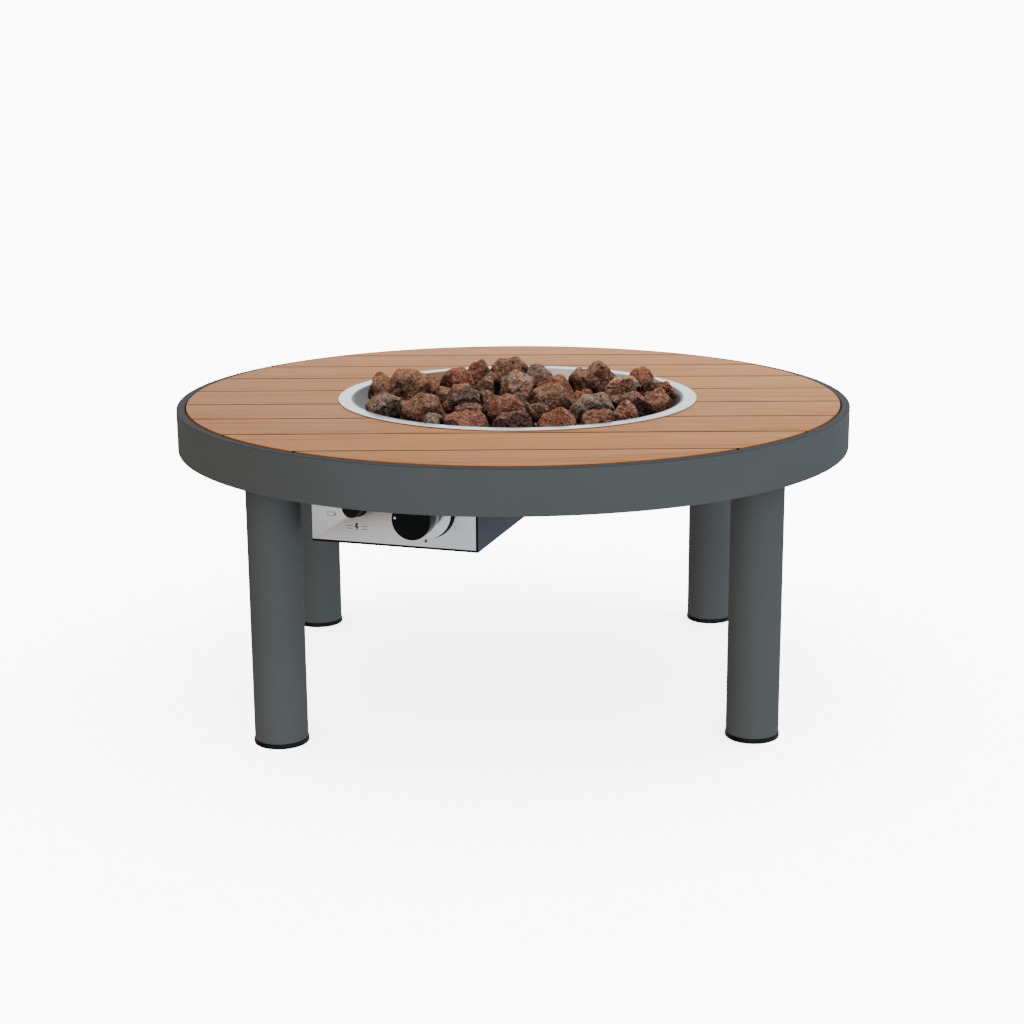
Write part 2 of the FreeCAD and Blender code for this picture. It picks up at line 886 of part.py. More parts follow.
def small_screw():
    head = post(screw_head_radius, -screw_head_height, 0)
    slot = block(-screw_head_radius - 1, screw_head_radius + 1, -0.4, 0.4, -screw_head_height - 1, -screw_head_height + 1)
    return fused([head, post(screw_radius, 0, screw_length)]).cut(slot)


def screw_facing(way, x, y, z):
    """A small screw whose point looks up, down or back, seated at a place."""
    turn = {"up": 0, "down": 180, "back": -90}[way]
    screw = small_screw()
    screw.rotate(Vector(0, 0, 0), Vector(1, 0, 0), turn)
    screw.translate(Vector(x, y, z))
    return screw


def panel_screw_places():
    z = box_bottom + panel_height - screw_inset
    return [(box_left + panel_margin_left + screw_inset, z), (box_right - panel_margin_right - screw_inset, z)]


def lid_screw_places():
    inset = box_flange / 2 + box_sheet / 2
    near = wall_back + 2 * screw_inset
    far = box_rear - inset
    return [(box_left + inset, near), (box_right - inset, near), (box_left + inset, far), (box_right - inset, far)]


def valve_screw_places():
    return [(-valve_screw_place, control_z), (valve_screw_place, control_z)]


def side_hanger_places():
    """Middles of the two hangers on the front face of the cross beam, in the table's frame."""
    turn = math.radians(box_turn)
    places = []
    for x in (box_left + side_hanger_inset, box_right - side_hanger_inset):
        across = (x - bowl_hole_radius * math.sin(turn)) / math.cos(turn)
        places.append((bowl_offset_x + across, -bowl_hole_radius - beam_width / 2))
    return places


def front_hanger_place():
    """Where the web of the front hanger stands, in the table's frame."""
    turn = math.radians(box_turn)
    x = -batten_place
    depth = panel_face + front_hanger_setback
    return (x, (depth - (x - bowl_offset_x) * math.sin(turn)) / math.cos(turn))


def lid_hanger_screws():
    """Where the hangers are screwed to the lid, in the table's frame."""
    return [(x, y + hanger_depth / 2) for x, y in side_hanger_places() + [front_hanger_place()]]


def hanger_screw_holes():
    """Threaded holes for the hangers in the frame, in the table's frame."""
    thread = screw_radius + thread_clearance
    holes = []
    for x, y in side_hanger_places():
        holes.append(rod(thread, y - 1, y + screw_length, x, beam_under + beam_height / 2))
    x, y = front_hanger_place()
    holes.append(post(thread, batten_under - 1, deck_under + 1, x, y - hanger_sheet - hanger_depth / 2))
    return holes


def screws():
    pieces = []
    for x, z in panel_screw_places():
        pieces.append(screw_facing("back", x, panel_face, z))
    for x, y in lid_screw_places():
        pieces.append(screw_facing("down", x, y, lid_top))
    for x, z in valve_screw_places():
        pieces.append(screw_facing("back", x, panel_face, z))
    for side in (-1, 1):
        pieces.append(screw_facing("down", side * hood_screw_place, -hood_place, bowl_floor + hood_sheet))
    placed = [in_box(piece) for piece in pieces]
    for x, y in lid_hanger_screws():
        placed.append(screw_facing("down", x, y, lid_top + hanger_sheet))
    for x, y in side_hanger_places():
        placed.append(screw_facing("back", x, y - hanger_sheet, beam_under + beam_height / 2))
    x, y = front_hanger_place()
    placed.append(screw_facing("up", x, y - hanger_sheet - hanger_depth / 2, batten_under - hanger_sheet))
    return group(placed)


def hangers():
    """Bent strips from the lid to the cross beam, and one in front of them to a batten."""
    half = hanger_width / 2
    hole = screw_radius + bolt_hole_clearance
    low = lid_top
    seat = low + hanger_sheet
    pieces = []
    for x, y in side_hanger_places():
        tab = block(x - half, x + half, y - hanger_sheet, y + hanger_depth, low, seat)
        upright = block(x - half, x + half, y - hanger_sheet, y, low, beam_under + hanger_rise)
        cutters = [
            post(hole, low - 1, seat + 1, x, y + hanger_depth / 2),
            rod(hole, y - hanger_sheet - 1, y + 1, x, beam_under + beam_height / 2),
        ]
        pieces.append(less(fused([tab, upright]), cutters))
    x, y = front_hanger_place()
    front = y - hanger_sheet
    high = batten_under - hanger_sheet
    lower = block(x - half, x + half, front, y + hanger_depth, low, seat)
    upright = block(x - half, x + half, front, y, low, batten_under)
    upper = block(x - half, x + half, front - hanger_depth, y, high, batten_under)
    cutters = [
        post(hole, low - 1, seat + 1, x, y + hanger_depth / 2),
        post(hole, high - 1, batten_under + 1, x, front - hanger_depth / 2),
    ]
    pieces.append(less(fused([lower, upright, upper]), cutters))
    return group(pieces)


# Control box: a folded shell, a lid and a stainless panel

def lead_exits():
    """Where each lead and pipe crosses the rear wall: x, height and radius of its hole."""
    first = crossing(igniter_lead_points())
    second = crossing(thermocouple_lead_points())
    return [
        (first[0], first[1], grommet_hole_radius),
        (second[0], second[1], grommet_hole_radius),
        (0.0, control_z, grommet_hole_radius + line_radius - igniter_lead_radius),
    ]


def crossing(route):
    """Where a route passes through the middle of the rear wall."""
    middle = box_rear - box_sheet / 2
    for here, there in zip(route, route[1:]):
        if here[1] >= middle >= there[1]:
            share = (here[1] - middle) / (here[1] - there[1])
            return [here[axis] + share * (there[axis] - here[axis]) for axis in (0, 2)]
    return [route[-1][0], route[-1][2]]


def box_shell():
    sheet = box_sheet
    outside = block(box_left, box_right, wall_front, box_rear, box_bottom, box_top)
    hollow = block(box_left + sheet, box_right - sheet, wall_back, box_rear - sheet, box_bottom + sheet, box_top + 1)
    shell = outside.cut(hollow)
    flange = block(box_left + sheet, box_right - sheet, wall_back, box_rear - sheet, box_top - sheet, box_top)
    inside = box_flange
    opening = block(box_left + inside, box_right - inside, wall_back, box_rear - inside, box_top - 2 * sheet, box_top + 1)
    fascia = block(box_left, box_right, wall_front, wall_back, box_top, box_bottom + panel_height)
    shell = fused([shell, flange.cut(opening), fascia])
    holes = front_holes(wall_front, wall_back)
    thread = screw_radius + thread_clearance
    for x, y in lid_screw_places():
        holes.append(post(thread, box_top - sheet - 1, box_top + 1, x, y))
    for x, z, radius in lead_exits():
        holes.append(rod(radius, box_rear - sheet - 1, box_rear + 1, x, z))
    inlet_hole = nipple_flare_radius + inlet_wall_clearance
    holes.append(rod(inlet_hole, box_rear - sheet - 1, box_rear + 1, inlet_x, control_z))
    return less(shell, holes)


def front_holes(front, back):
    """Holes through a sheet of the front: knob stem, valve screws, igniter and panel screws."""
    clear = screw_radius + bolt_hole_clearance
    holes = [rod(stem_shoulder_radius, front - 1, back + 1, 0, control_z)]
    for x, z in valve_screw_places() + panel_screw_places():
        holes.append(rod(clear, front - 1, back + 1, x, z))
    holes.append(rod(igniter_radius + igniter_hole_clearance, front - 1, back + 1, igniter_x, control_z))
    return holes


def front_panel():
    sheet = block(box_left + panel_margin_left, box_right - panel_margin_right, panel_face, wall_front,
                  box_bottom + panel_margin_bottom, box_bottom + panel_height)
    return less(sheet, front_holes(panel_face, wall_front))


def box_lid():
    lid = block(box_left, box_right, wall_back, box_rear, box_top, lid_top)
    clear = screw_radius + bolt_hole_clearance
    holes = [post(clear, box_top - 1, lid_top + 1, x, y) for x, y in lid_screw_places()]
    for x, y in (box_place(*place) for place in lid_hanger_screws()):
        holes.append(post(screw_radius + thread_clearance, box_top - 1, lid_top + 1, x, y))
    return less(lid, holes)


def grommet(x, z, hole_radius, bore_radius):
    flange = hole_radius + grommet_flange
    half = grommet_thickness / 2
    neck = box_sheet / 2
    ring = turned(
        (bore_radius, -half),
        (flange, -half),
        (flange, -neck),
        (hole_radius, -neck),
        (hole_radius, neck),
        (flange, neck),
        (flange, half),
        (bore_radius, half),
    )
    return along_y(ring, box_rear - box_sheet / 2, x, z)


def grommets():
    bores = [
        igniter_lead_radius + grommet_bore_clearance,
        thermocouple_lead_radius + grommet_bore_clearance,
        line_radius + flare_nut_clearance,
    ]
    pieces = []
    for (x, z, hole_radius), bore in zip(lead_exits(), bores):
        pieces.append(in_box(grommet(x, z, hole_radius, bore)))
    return group(pieces)


# Valve

def flat_side(y0, y1):
    """What is cut from a round bar to leave the flat of a D-shaped stem."""
    reach = stem_radius + 1
    return block(-reach, reach, y0, y1, control_z + stem_flat, control_z + reach)


def valve_body():
    flange = rod(bonnet_radius, bonnet_back, bonnet_back + valve_flange, 0, control_z)
    barrel = rod(valve_radius, bonnet_back + valve_flange, valve_back, 0, control_z)
    outlet = rod(nipple_flare_radius, valve_back, valve_tip, 0, control_z)
    inlet_y = valve_inlet_y
    inlet = side_rod(nipple_flare_radius, -valve_radius - flare_nipple_length, 0, inlet_y, control_z)
    magnet = side_rod(nipple_flare_radius, 0, valve_radius + flare_nipple_length, inlet_y, control_z)
    solid = fused([flange, barrel, outlet, inlet, magnet])
    cavity_end = bonnet_back + spring_cavity_depth
    cutters = [
        rod(spring_cavity_radius, bonnet_back - 1, cavity_end, 0, control_z),
        rod(stem_radius + running_clearance, cavity_end - 1, cavity_end + stem_tail + push_travel + 1, 0, control_z),
        rod(inlet_bore, valve_back - 2, valve_tip + 1, 0, control_z),
        side_rod(inlet_bore, -valve_radius - flare_nipple_length - 1, -spring_cavity_radius, inlet_y, control_z),
    ]
    for x, z in valve_screw_places():
        cutters.append(rod(screw_radius + thread_clearance, bonnet_back - 1, bonnet_back + valve_flange, x, z))
    return less(solid, cutters)


def valve_bonnet():
    plate = rod(bonnet_radius, wall_back, bonnet_back, 0, control_z)
    holes = [rod(stem_radius + running_clearance, wall_back - 1, bonnet_back + 1, 0, control_z)]
    for x, z in valve_screw_places():
        holes.append(rod(screw_radius + thread_clearance, wall_back - 1, bonnet_back + 1, x, z))
    return less(plate, holes)


def shoulder_front():
    return bonnet_back + stop_gap


def collar_front():
    return shoulder_front() + stem_shoulder + weld_gap / 2


def valve_stem():
    front = panel_face - knob_rear - knob_bore_depth + stem_end_gap
    tail_end = bonnet_back + spring_cavity_depth + stem_tail
    shaft = rod(stem_radius, front, tail_end, 0, control_z)
    shoulder = rod(stem_shoulder_radius, shoulder_front(), shoulder_front() + stem_shoulder, 0, control_z)
    return fused([shaft, shoulder]).cut(flat_side(front - 1, panel_face - knob_hub_rear))


def push_collar():
    start = collar_front()
    return sleeve(spring_cavity_radius - collar_clearance, stem_radius + running_clearance,
                  start, start + collar_thickness, 0, control_z)


def arc_along(start, corner, end):
    """An arc that leaves its start towards the corner and comes to its end from there."""
    middle = (start + end) * 0.5
    half = (end - start).Length / 2
    rise = corner - middle
    turn = math.atan2(rise.Length, half)
    return Part.Arc(start, middle + rise.normalize() * (half * math.tan(turn / 2)), end).toShape()


def helix_arcs(radius, turns, height):
    """A helix about Z as pairs of tangent arcs, one pair for each half turn."""
    steps = round(2 * turns)
    climb = height / (2 * math.pi * turns)
    spots = []
    for step in range(steps + 1):
        angle = 2 * math.pi * turns * step / steps
        place = Vector(radius * math.cos(angle), radius * math.sin(angle), climb * angle)
        way = Vector(-radius * math.sin(angle), radius * math.cos(angle), climb).normalize()
        spots.append((place, way))
    arcs = []
    for (start, leave), (end, arrive) in zip(spots, spots[1:]):
        across = end - start
        bend = 2 * (1 - leave.dot(arrive))
        along = across.dot(leave + arrive)
        reach = (math.sqrt(along * along + bend * across.dot(across)) - along) / bend
        first = start + leave * reach
        last = end - arrive * reach
        middle = (first + last) * 0.5
        arcs.append(arc_along(start, first, middle))
        arcs.append(arc_along(middle, last, end))
    return arcs


def coil(wire, radius, turns, y0, y1, x):
    """A round wire spring between two heights of the box's depth."""
    spring = pipe(helix_arcs(radius, turns, y1 - y0 - 2 * wire), wire, 0)
    return along_y(spring, y0 + wire, x, control_z)


def return_spring():
    gap = weld_gap / 2
    start = collar_front() + collar_thickness + gap
    end = bonnet_back + spring_cavity_depth - gap
    radius = spring_cavity_radius - spring_wire - 2 * collar_clearance
    return coil(spring_wire, radius, spring_turns, start, end, 0)


def bezel_ring():
    outer = bezel_radius
    inner = bezel_radius - bezel_wall
    ledge = inner - bezel_wall * 2
    ring = turned(
        (ledge, 0),
        (outer, 0),
        (outer, bezel_height - 1),
        (outer - 1, bezel_height),
        (inner, bezel_height),
        (inner, bezel_ledge),
        (ledge, bezel_ledge),
    )
    ring.rotate(Vector(0, 0, 0), Vector(1, 0, 0), 90)
    ring.translate(Vector(0, panel_face, control_z))
    return ring


def bezel_dish():
    outer = bezel_radius - bezel_wall - bezel_fit
    top = bezel_ledge + bezel_plate
    hole = knob_hub_radius + 1
    dish = turned(
        (hole, bezel_ledge),
        (outer, bezel_ledge),
        (outer, bezel_height + 0.3),
        (outer - bezel_lip, bezel_height + 0.3),
        (outer - bezel_lip - 1, top),
        (hole, top),
    )
    dish.rotate(Vector(0, 0, 0), Vector(1, 0, 0), 90)
    dish.translate(Vector(0, panel_face, control_z))
    return dish


def control_knob():
    edge = knob_edge
    near = edge * (1 - math.sqrt(0.5))
    knob = turned(
        (0, knob_hub_rear),
        (knob_hub_radius, knob_hub_rear),
        (knob_hub_radius, knob_rear),
        (knob_rear_radius, knob_rear),
        (knob_radius, knob_waist),
        (knob_radius, knob_front - edge),
        (knob_radius - near, knob_front - near, knob_radius - edge, knob_front),
        (0, knob_front),
    )
    knob.rotate(Vector(0, 0, 0), Vector(1, 0, 0), 90)
    knob.translate(Vector(0, panel_face, control_z))
    bore_end = panel_face - knob_rear - knob_bore_depth
    bore = rod(stem_radius + knob_fit, bore_end, panel_face, 0, control_z)
    flat = flat_side(bore_end - 1, panel_face + 1)
    flat.translate(Vector(0, 0, knob_fit))
    pocket = rod(dot_radius + knob_fit, panel_face - knob_front - 1, panel_face - knob_front + dot_depth,
                 -dot_place, control_z)
    return less(knob, [bore.cut(flat), pocket])


def knob_dot():
    front = panel_face - knob_front
    return rod(dot_radius, front - 0.1, front + dot_depth, -dot_place, control_z)


# Igniter: housing, screw cap, push button, spring and cell

def igniter_housing():
    front = panel_face - igniter_neck
    body = rod(igniter_radius, front, igniter_back, igniter_x, control_z)
    flange = rod(igniter_flange_radius, panel_face - igniter_flange, panel_face, igniter_x, control_z)
    terminal = rod(terminal_radius, igniter_back, igniter_back + terminal_length, igniter_x, control_z)
    wide = igniter_radius - igniter_neck_wall
    cell = battery_radius + battery_clearance
    cutters = [
        rod(wide, front - 1, panel_face - battery_front, igniter_x, control_z),
        rod(cell, front, battery_back + battery_clearance, igniter_x, control_z),
    ]
    return less(fused([body, flange, terminal]), cutters)


def igniter_cap():
    inner = igniter_radius + igniter_cap_clearance
    cap = turned(
        (inner, igniter_cap_rear),
        (igniter_cap_radius, igniter_cap_rear),
        (igniter_cap_radius, igniter_cap_front - 1),
        (igniter_cap_radius - 1, igniter_cap_front),
        (button_radius + button_clearance, igniter_cap_front),
        (button_radius + button_clearance, igniter_cap_front - igniter_cap_wall),
        (inner, igniter_cap_front - igniter_cap_wall),
    )
    cap.rotate(Vector(0, 0, 0), Vector(1, 0, 0), 90)
    cap.translate(Vector(igniter_x, panel_face, control_z))
    return cap


def igniter_button():
    front = igniter_cap_front + button_proud
    flange_front = igniter_cap_front - igniter_cap_wall - stop_gap
    edge = button_edge
    near = edge * (1 - math.sqrt(0.5))
    button = turned(
        (0, flange_front - button_flange),
        (button_flange_radius, flange_front - button_flange),
        (button_flange_radius, flange_front),
        (button_radius, flange_front),
        (button_radius, front - edge),
        (button_radius - near, front - near, button_radius - edge, front),
        (0, front),
    )
    button.rotate(Vector(0, 0, 0), Vector(1, 0, 0), 90)
    button.translate(Vector(igniter_x, panel_face, control_z))
    return button


def igniter_spring():
    gap = weld_gap / 2
    rear_of_button = igniter_cap_front - igniter_cap_wall - stop_gap - button_flange
    start = panel_face - rear_of_button + gap
    end = panel_face - battery_front + battery_nub - gap
    return coil(igniter_spring_wire, igniter_spring_radius, igniter_spring_turns, start, end, igniter_x)


def battery():
    front = panel_face - battery_front
    cell = rod(battery_radius, front + battery_nub, battery_back, igniter_x, control_z)
    return fused([cell, rod(battery_nub_radius, front, front + battery_nub, igniter_x, control_z)])


def igniter_nut():
    nut = hexagon(igniter_flange_radius * math.cos(math.pi / 6), 0, igniter_nut_thickness)
    nut = along_y(nut, wall_back, igniter_x, control_z)
    return nut.cut(rod(igniter_radius + thread_clearance, wall_back - 1, igniter_back, igniter_x, control_z))


# Gas pipes with their nuts, and the inlet

def inlet_fitting():
    inner_nipple = rod(nipple_flare_radius, inlet_tip, box_rear, inlet_x, control_z)
    hexagonal = along_y(hexagon(inlet_hex_flats, 0, inlet_hex), box_rear, inlet_x, control_z)
    flare = rod(inlet_radius, box_rear + inlet_hex, box_rear + inlet_hex + inlet_length, inlet_x, control_z)
    bore = rod(inlet_bore, inlet_tip - 1, box_rear + inlet_hex + inlet_length + 1, inlet_x, control_z)
    return fused([inner_nipple, hexagonal, flare]).cut(bore)


def pipe(edges, outer, inner):
    """A round pipe along joined lines and arcs, which start along their first edge."""
    wire = Part.Wire(edges)
    start = wire.Edges[0].valueAt(wire.Edges[0].FirstParameter)
    way = wire.Edges[0].tangentAt(wire.Edges[0].FirstParameter)
    solid = wire.makePipeShell([Part.Wire(Part.makeCircle(outer, start, way))], True, False)
    if inner > 0:
        solid = solid.cut(wire.makePipeShell([Part.Wire(Part.makeCircle(inner, start, way))], True, False))
    return solid


def rounded_route(points, radii):
    """Lines between the points, joined by tangent arcs of the given radii."""
    edges = []
    here = points[0]
    for index, radius in enumerate(radii, start=1):
        corner = points[index]
        before = (corner - points[index - 1]).normalize()
        after = (points[index + 1] - corner).normalize()
        half_turn = before.getAngle(after) / 2
        cut = radius * math.tan(half_turn)
        start = corner - before * cut
        end = corner + after * cut
        centre = corner + (after - before).normalize() * (radius / math.cos(half_turn))
        middle = centre + (corner - centre).normalize() * radius
        edges.append(Part.makeLine(here, start))
        edges.append(Part.Arc(start, middle, end).toShape())
        here = end
    edges.append(Part.makeLine(here, points[-1]))
    return edges


def lead(name, route, radius):
    """A flexible lead: each arc is as large as its two runs allow."""
    points = [Vector(*point) for point in route]
    runs = [(there - here).Length for here, there in zip(points, points[1:])]
    radii = []
    for index in range(1, len(points) - 1):
        before = points[index] - points[index - 1]
        after = points[index + 1] - points[index]
        half_turn = before.getAngle(after) / 2
        radii.append(0.45 * min(runs[index - 1], runs[index]) / math.tan(half_turn))
    edges = rounded_route(points, radii)
    length = sum(edge.Length for edge in edges)
    solid = pipe(edges, radius, 0)
    share = solid.Volume / (math.pi * radius * radius * length)
    print(name, "length", round(length, 1), "radii", [round(r, 1) for r in radii], "volume share", round(share, 4))
    return in_box(solid)


def inlet_tube():
    start = Vector(-valve_radius - flare_nipple_length, valve_inlet_y, control_z)
    corner = Vector(inlet_x, valve_inlet_y, control_z)
    end = Vector(inlet_x, inlet_tip, control_z)
    return pipe(rounded_route([start, corner, end], [line_bend]), line_radius, line_radius - line_wall)


def burner_tube():
    return sleeve(line_radius, line_radius - line_wall, valve_tip, orifice_tip, 0, control_z)


def flare_nut():
    """A nut along +Z: it grips a nipple that ends at zero, and a pipe above it."""
    nut = hexagon(flare_nut_flats, -flare_nut_grip, flare_nut_tail)
    nut = nut.cut(post(nipple_flare_radius + flare_nut_clearance, -flare_nut_grip - 1, 0))
    return nut.cut(post(line_radius + flare_nut_clearance, -1, flare_nut_tail + 1))


def tube_nuts():
    nuts = []
    for end, back in ((valve_tip, False), (orifice_tip, True)):
        nut = flare_nut()
        if back:
            nut.rotate(Vector(0, 0, 0), Vector(1, 0, 0), 180)
        nuts.append(along_y(nut, end, 0, control_z))
    inner = flare_nut()
    inner.rotate(Vector(0, 0, 0), Vector(1, 0, 0), 180)
    nuts.append(along_y(inner, inlet_tip, inlet_x, control_z))
    side = flare_nut()
    side.rotate(Vector(0, 0, 0), Vector(0, 1, 0), -90)
    side.translate(Vector(-valve_radius - flare_nipple_length, valve_inlet_y, control_z))
    nuts.append(side)
    return group([in_box(nut) for nut in nuts])


def igniter_lead_points():
    """From the foot of the electrode to the igniter's terminal."""
    low = bowl_floor_under - probe_drop
    terminal = igniter_back + terminal_length
    start = [(-probe_place, -hood_place, low), (-probe_place, -hood_place, low - lead_drop)]
    return start + igniter_lead_route + [(igniter_x, terminal + lead_run, control_z), (igniter_x, terminal, control_z)]


def thermocouple_lead_points():
    """From the foot of the probe to the magnet on the side of the valve."""
    low = bowl_floor_under - probe_drop
    magnet = valve_radius + flare_nipple_length
    start = [(probe_place, -hood_place, low), (probe_place, -hood_place, low - lead_drop)]
    end = [(magnet + magnet_run, valve_inlet_y, control_z), (magnet, valve_inlet_y, control_z)]
    return start + thermocouple_lead_route + end


def control_box():
    electrode_lead = lead("igniter_lead", igniter_lead_points(), igniter_lead_radius)
    probe_lead = lead("thermocouple lead", thermocouple_lead_points(), thermocouple_lead_radius)
    return {
        "ignition_bracket": in_box(ignition_bracket()),
        "spark_electrode": in_box(spark_electrode()),
        "thermocouple": fused([in_box(thermocouple_probe()), probe_lead]),
        "igniter_lead": electrode_lead,
        "box_shell": in_box(box_shell()),
        "front_panel": in_box(front_panel()),
        "box_lid": in_box(box_lid()),
        "box_hangers": hangers(),
        "small_screws": screws(),
        "cable_grommets": grommets(),
        "valve_body": in_box(valve_body()),
        "valve_bonnet": in_box(valve_bonnet()),
        "valve_stem": in_box(valve_stem()),
        "push_collar": in_box(push_collar()),
        "return_spring": in_box(return_spring()),
        "bezel_ring": in_box(bezel_ring()),
        "bezel_plate": in_box(bezel_dish()),
        "control_knob": in_box(control_knob()),
        "knob_dot": in_box(knob_dot()),
        "igniter_housing": in_box(igniter_housing()),
        "igniter_cap": in_box(igniter_cap()),
        "igniter_button": in_box(igniter_button()),
        "igniter_spring": in_box(igniter_spring()),
        "igniter_nut": in_box(igniter_nut()),
        "battery": in_box(battery()),
        "inlet_fitting": in_box(inlet_fitting()),
        "inlet_tube": in_box(inlet_tube()),
        "burner_tube": in_box(burner_tube()),
        "tube_nuts": tube_nuts(),
    }


# Lava stones. Each one hangs from its crown and reaches down to what it lies on.

def hull_faces(points):
    """Triangles of the convex hull of a few points, each turned outwards."""
    faces = []
    count = len(points)
    for a in range(count):
        for b in range(a + 1, count):
            for c in range(b + 1, count):
                normal = (points[b] - points[a]).cross(points[c] - points[a])
                level = normal.dot(points[a])
                sides = [normal.dot(points[d]) > level for d in range(count) if d not in (a, b, c)]
                if not any(sides):
                    faces.append((a, b, c))
                elif all(sides):
                    faces.append((a, c, b))
    return faces


def unit_stone(seed):
    """Corner points of a rough stone that just fills a cube from -1 to 1."""
    draw = random.Random(seed)
    golden = math.pi * (3 - math.sqrt(5))
    points = []
    for index in range(stone_corners):
        height = 1 - 2 * (index + 0.5) / stone_corners + 0.12 * (draw.random() - 0.5)
        height = max(-1.0, min(1.0, height))
        angle = index * golden + 0.5 * (draw.random() - 0.5)
        reach = 1 - stone_roughness * draw.random()
        across = math.sqrt(1 - height * height)
        points.append(Vector(across * math.cos(angle), across * math.sin(angle), height) * reach)
    lows = [min(point[axis] for point in points) for axis in range(3)]
    highs = [max(point[axis] for point in points) for axis in range(3)]
    result = []
    for point in points:
        result.append(Vector(*[2 * (point[axis] - lows[axis]) / (highs[axis] - lows[axis]) - 1 for axis in range(3)]))
    return result


class Stone:
    """A convex stone of known plan and crown. Its drop says how far below the crown a point lies, from 0 to 1."""

    def __init__(self, seed, x, y, wide, deep, crown, turn):
        angle = math.radians(turn)
        self.crown = flange_top + crown
        self.height = 0.0
        self.points = []
        for point in unit_stone(seed):
            across = point.x * wide / 2
            along = point.y * deep / 2
            self.points.append(Vector(x + across * math.cos(angle) - along * math.sin(angle),
                                      y + across * math.sin(angle) + along * math.cos(angle),
                                      (1 - point.z) / 2))
        self.faces = [(a, c, b) for a, b, c in hull_faces(self.points)]
        self.used = sorted({corner for face in self.faces for corner in face})
        self.edges = sorted({tuple(sorted(pair)) for a, b, c in self.faces for pair in ((a, b), (b, c), (c, a))})
        self.over = []
        self.under = []
        for a, b, c in self.faces:
            first, second, third = self.points[a], self.points[b], self.points[c]
            normal = (second - first).cross(third - first)
            plane = (-normal.x / normal.z, -normal.y / normal.z, normal.dot(first) / normal.z)
            (self.under if normal.z < 0 else self.over).append(plane)
        self.low = [min(point[axis] for point in self.points) for axis in (0, 1)]
        self.high = [max(point[axis] for point in self.points) for axis in (0, 1)]

    def level(self, drop):
        return self.crown - drop * self.height

    def drops(self, x, y):
        """The drop of the top and of the underside at a place, or None beside the stone."""
        top = max(a * x + b * y + c for a, b, c in self.over)
        bottom = min(a * x + b * y + c for a, b, c in self.under)
        return (top, bottom) if top <= bottom else None

    def top(self, x, y):
        drops = self.drops(x, y)
        return self.level(drops[0]) if drops else None

    def corner_levels(self):
        return [(self.points[i].x, self.points[i].y, self.level(self.points[i].z)) for i in self.used]

    def edge_levels(self):
        corners_at = {i: (self.points[i].x, self.points[i].y, self.level(self.points[i].z)) for i in self.used}
        return [(corners_at[a], corners_at[b]) for a, b in self.edges]

    def solid(self):
        points = [Vector(point.x, point.y, self.level(point.z)) for point in self.points]
        faces = [Part.Face(Part.makePolygon([points[a], points[b], points[c], points[a]])) for a, b, c in self.faces]
        solid = Part.Solid(Part.Shell(faces))
        if solid.Volume < 0:
            solid.reverse()
        return solid


class Block:
    """A flat-topped obstacle in the bowl, given by its corners in plan."""

    def __init__(self, plan, top):
        self.plan = plan
        self.height = top
        self.low = [min(point[axis] for point in plan) for axis in (0, 1)]
        self.high = [max(point[axis] for point in plan) for axis in (0, 1)]

    def top(self, x, y):
        for here, there in zip(self.plan, self.plan[1:] + self.plan[:1]):
            if (there[0] - here[0]) * (y - here[1]) - (there[1] - here[1]) * (x - here[0]) < 0:
                return None
        return self.height

    def corner_levels(self):
        return [(x, y, self.height) for x, y in self.plan]

    def edge_levels(self):
        corners_at = self.corner_levels()
        return list(zip(corners_at, corners_at[1:] + corners_at[:1]))


def bowl_height(x, y):
    """Height of the bowl's inner face."""
    out = math.hypot(x, y) - bowl_flat_radius
    if out <= 0:
        return bowl_floor
    if out >= wall_arc * math.sin(rim_slope):
        return wall_top + (out - wall_arc * math.sin(rim_slope)) * math.tan(rim_slope)
    return bowl_floor + wall_arc - math.sqrt(wall_arc * wall_arc - out * out)


def crossing_drop(first, second, low, high):
    """Where two edges cross in plan: the drop on the first and the level on the second."""
    ax, ay = second.x - first.x, second.y - first.y
    bx, by = high[0] - low[0], high[1] - low[1]
    turn = ax * by - ay * bx
    if abs(turn) < 1e-9:
        return None
    cx, cy = low[0] - first.x, low[1] - first.y
    along = (cx * by - cy * bx) / turn
    across = (cx * ay - cy * ax) / turn
    if not (0 <= along <= 1 and 0 <= across <= 1):
        return None
    return (first.z + along * (second.z - first.z), low[2] + across * (high[2] - low[2]))


def settle(stone, below):
    """Give a stone the height at which it just stays clear of all that lies under it."""
    limits = []

    def meet(drop, support):
        if drop > 1e-3:
            limits.append((stone.crown - support - stone_gap) / drop)

    for index in stone.used:
        point = stone.points[index]
        meet(point.z, bowl_height(point.x, point.y))
    for other in below:
        if any(stone.low[axis] > other.high[axis] or stone.high[axis] < other.low[axis] for axis in (0, 1)):
            continue
        for index in stone.used:
            point = stone.points[index]
            support = other.top(point.x, point.y)
            if support is not None:
                meet(point.z, support)
        for x, y, level in other.corner_levels():
            drops = stone.drops(x, y)
            if drops:
                meet(drops[1], level)
        edges = other.edge_levels()
        for a, b in stone.edges:
            for low, high in edges:
                found = crossing_drop(stone.points[a], stone.points[b], low, high)
                if found:
                    meet(*found)
    stone.height = min(limits)


def tube_steps():
    """Half widths and tops of the steps that enclose the upper half of the burner's tube."""
    steps = []
    for step in range(tube_step_count):
        here, there = [math.pi / 2 * number / tube_step_count for number in (step, step + 1)]
        steps.append((burner_tube_radius * math.sin(there) + stone_gap, burner_tube_radius * math.cos(here)))
    return steps


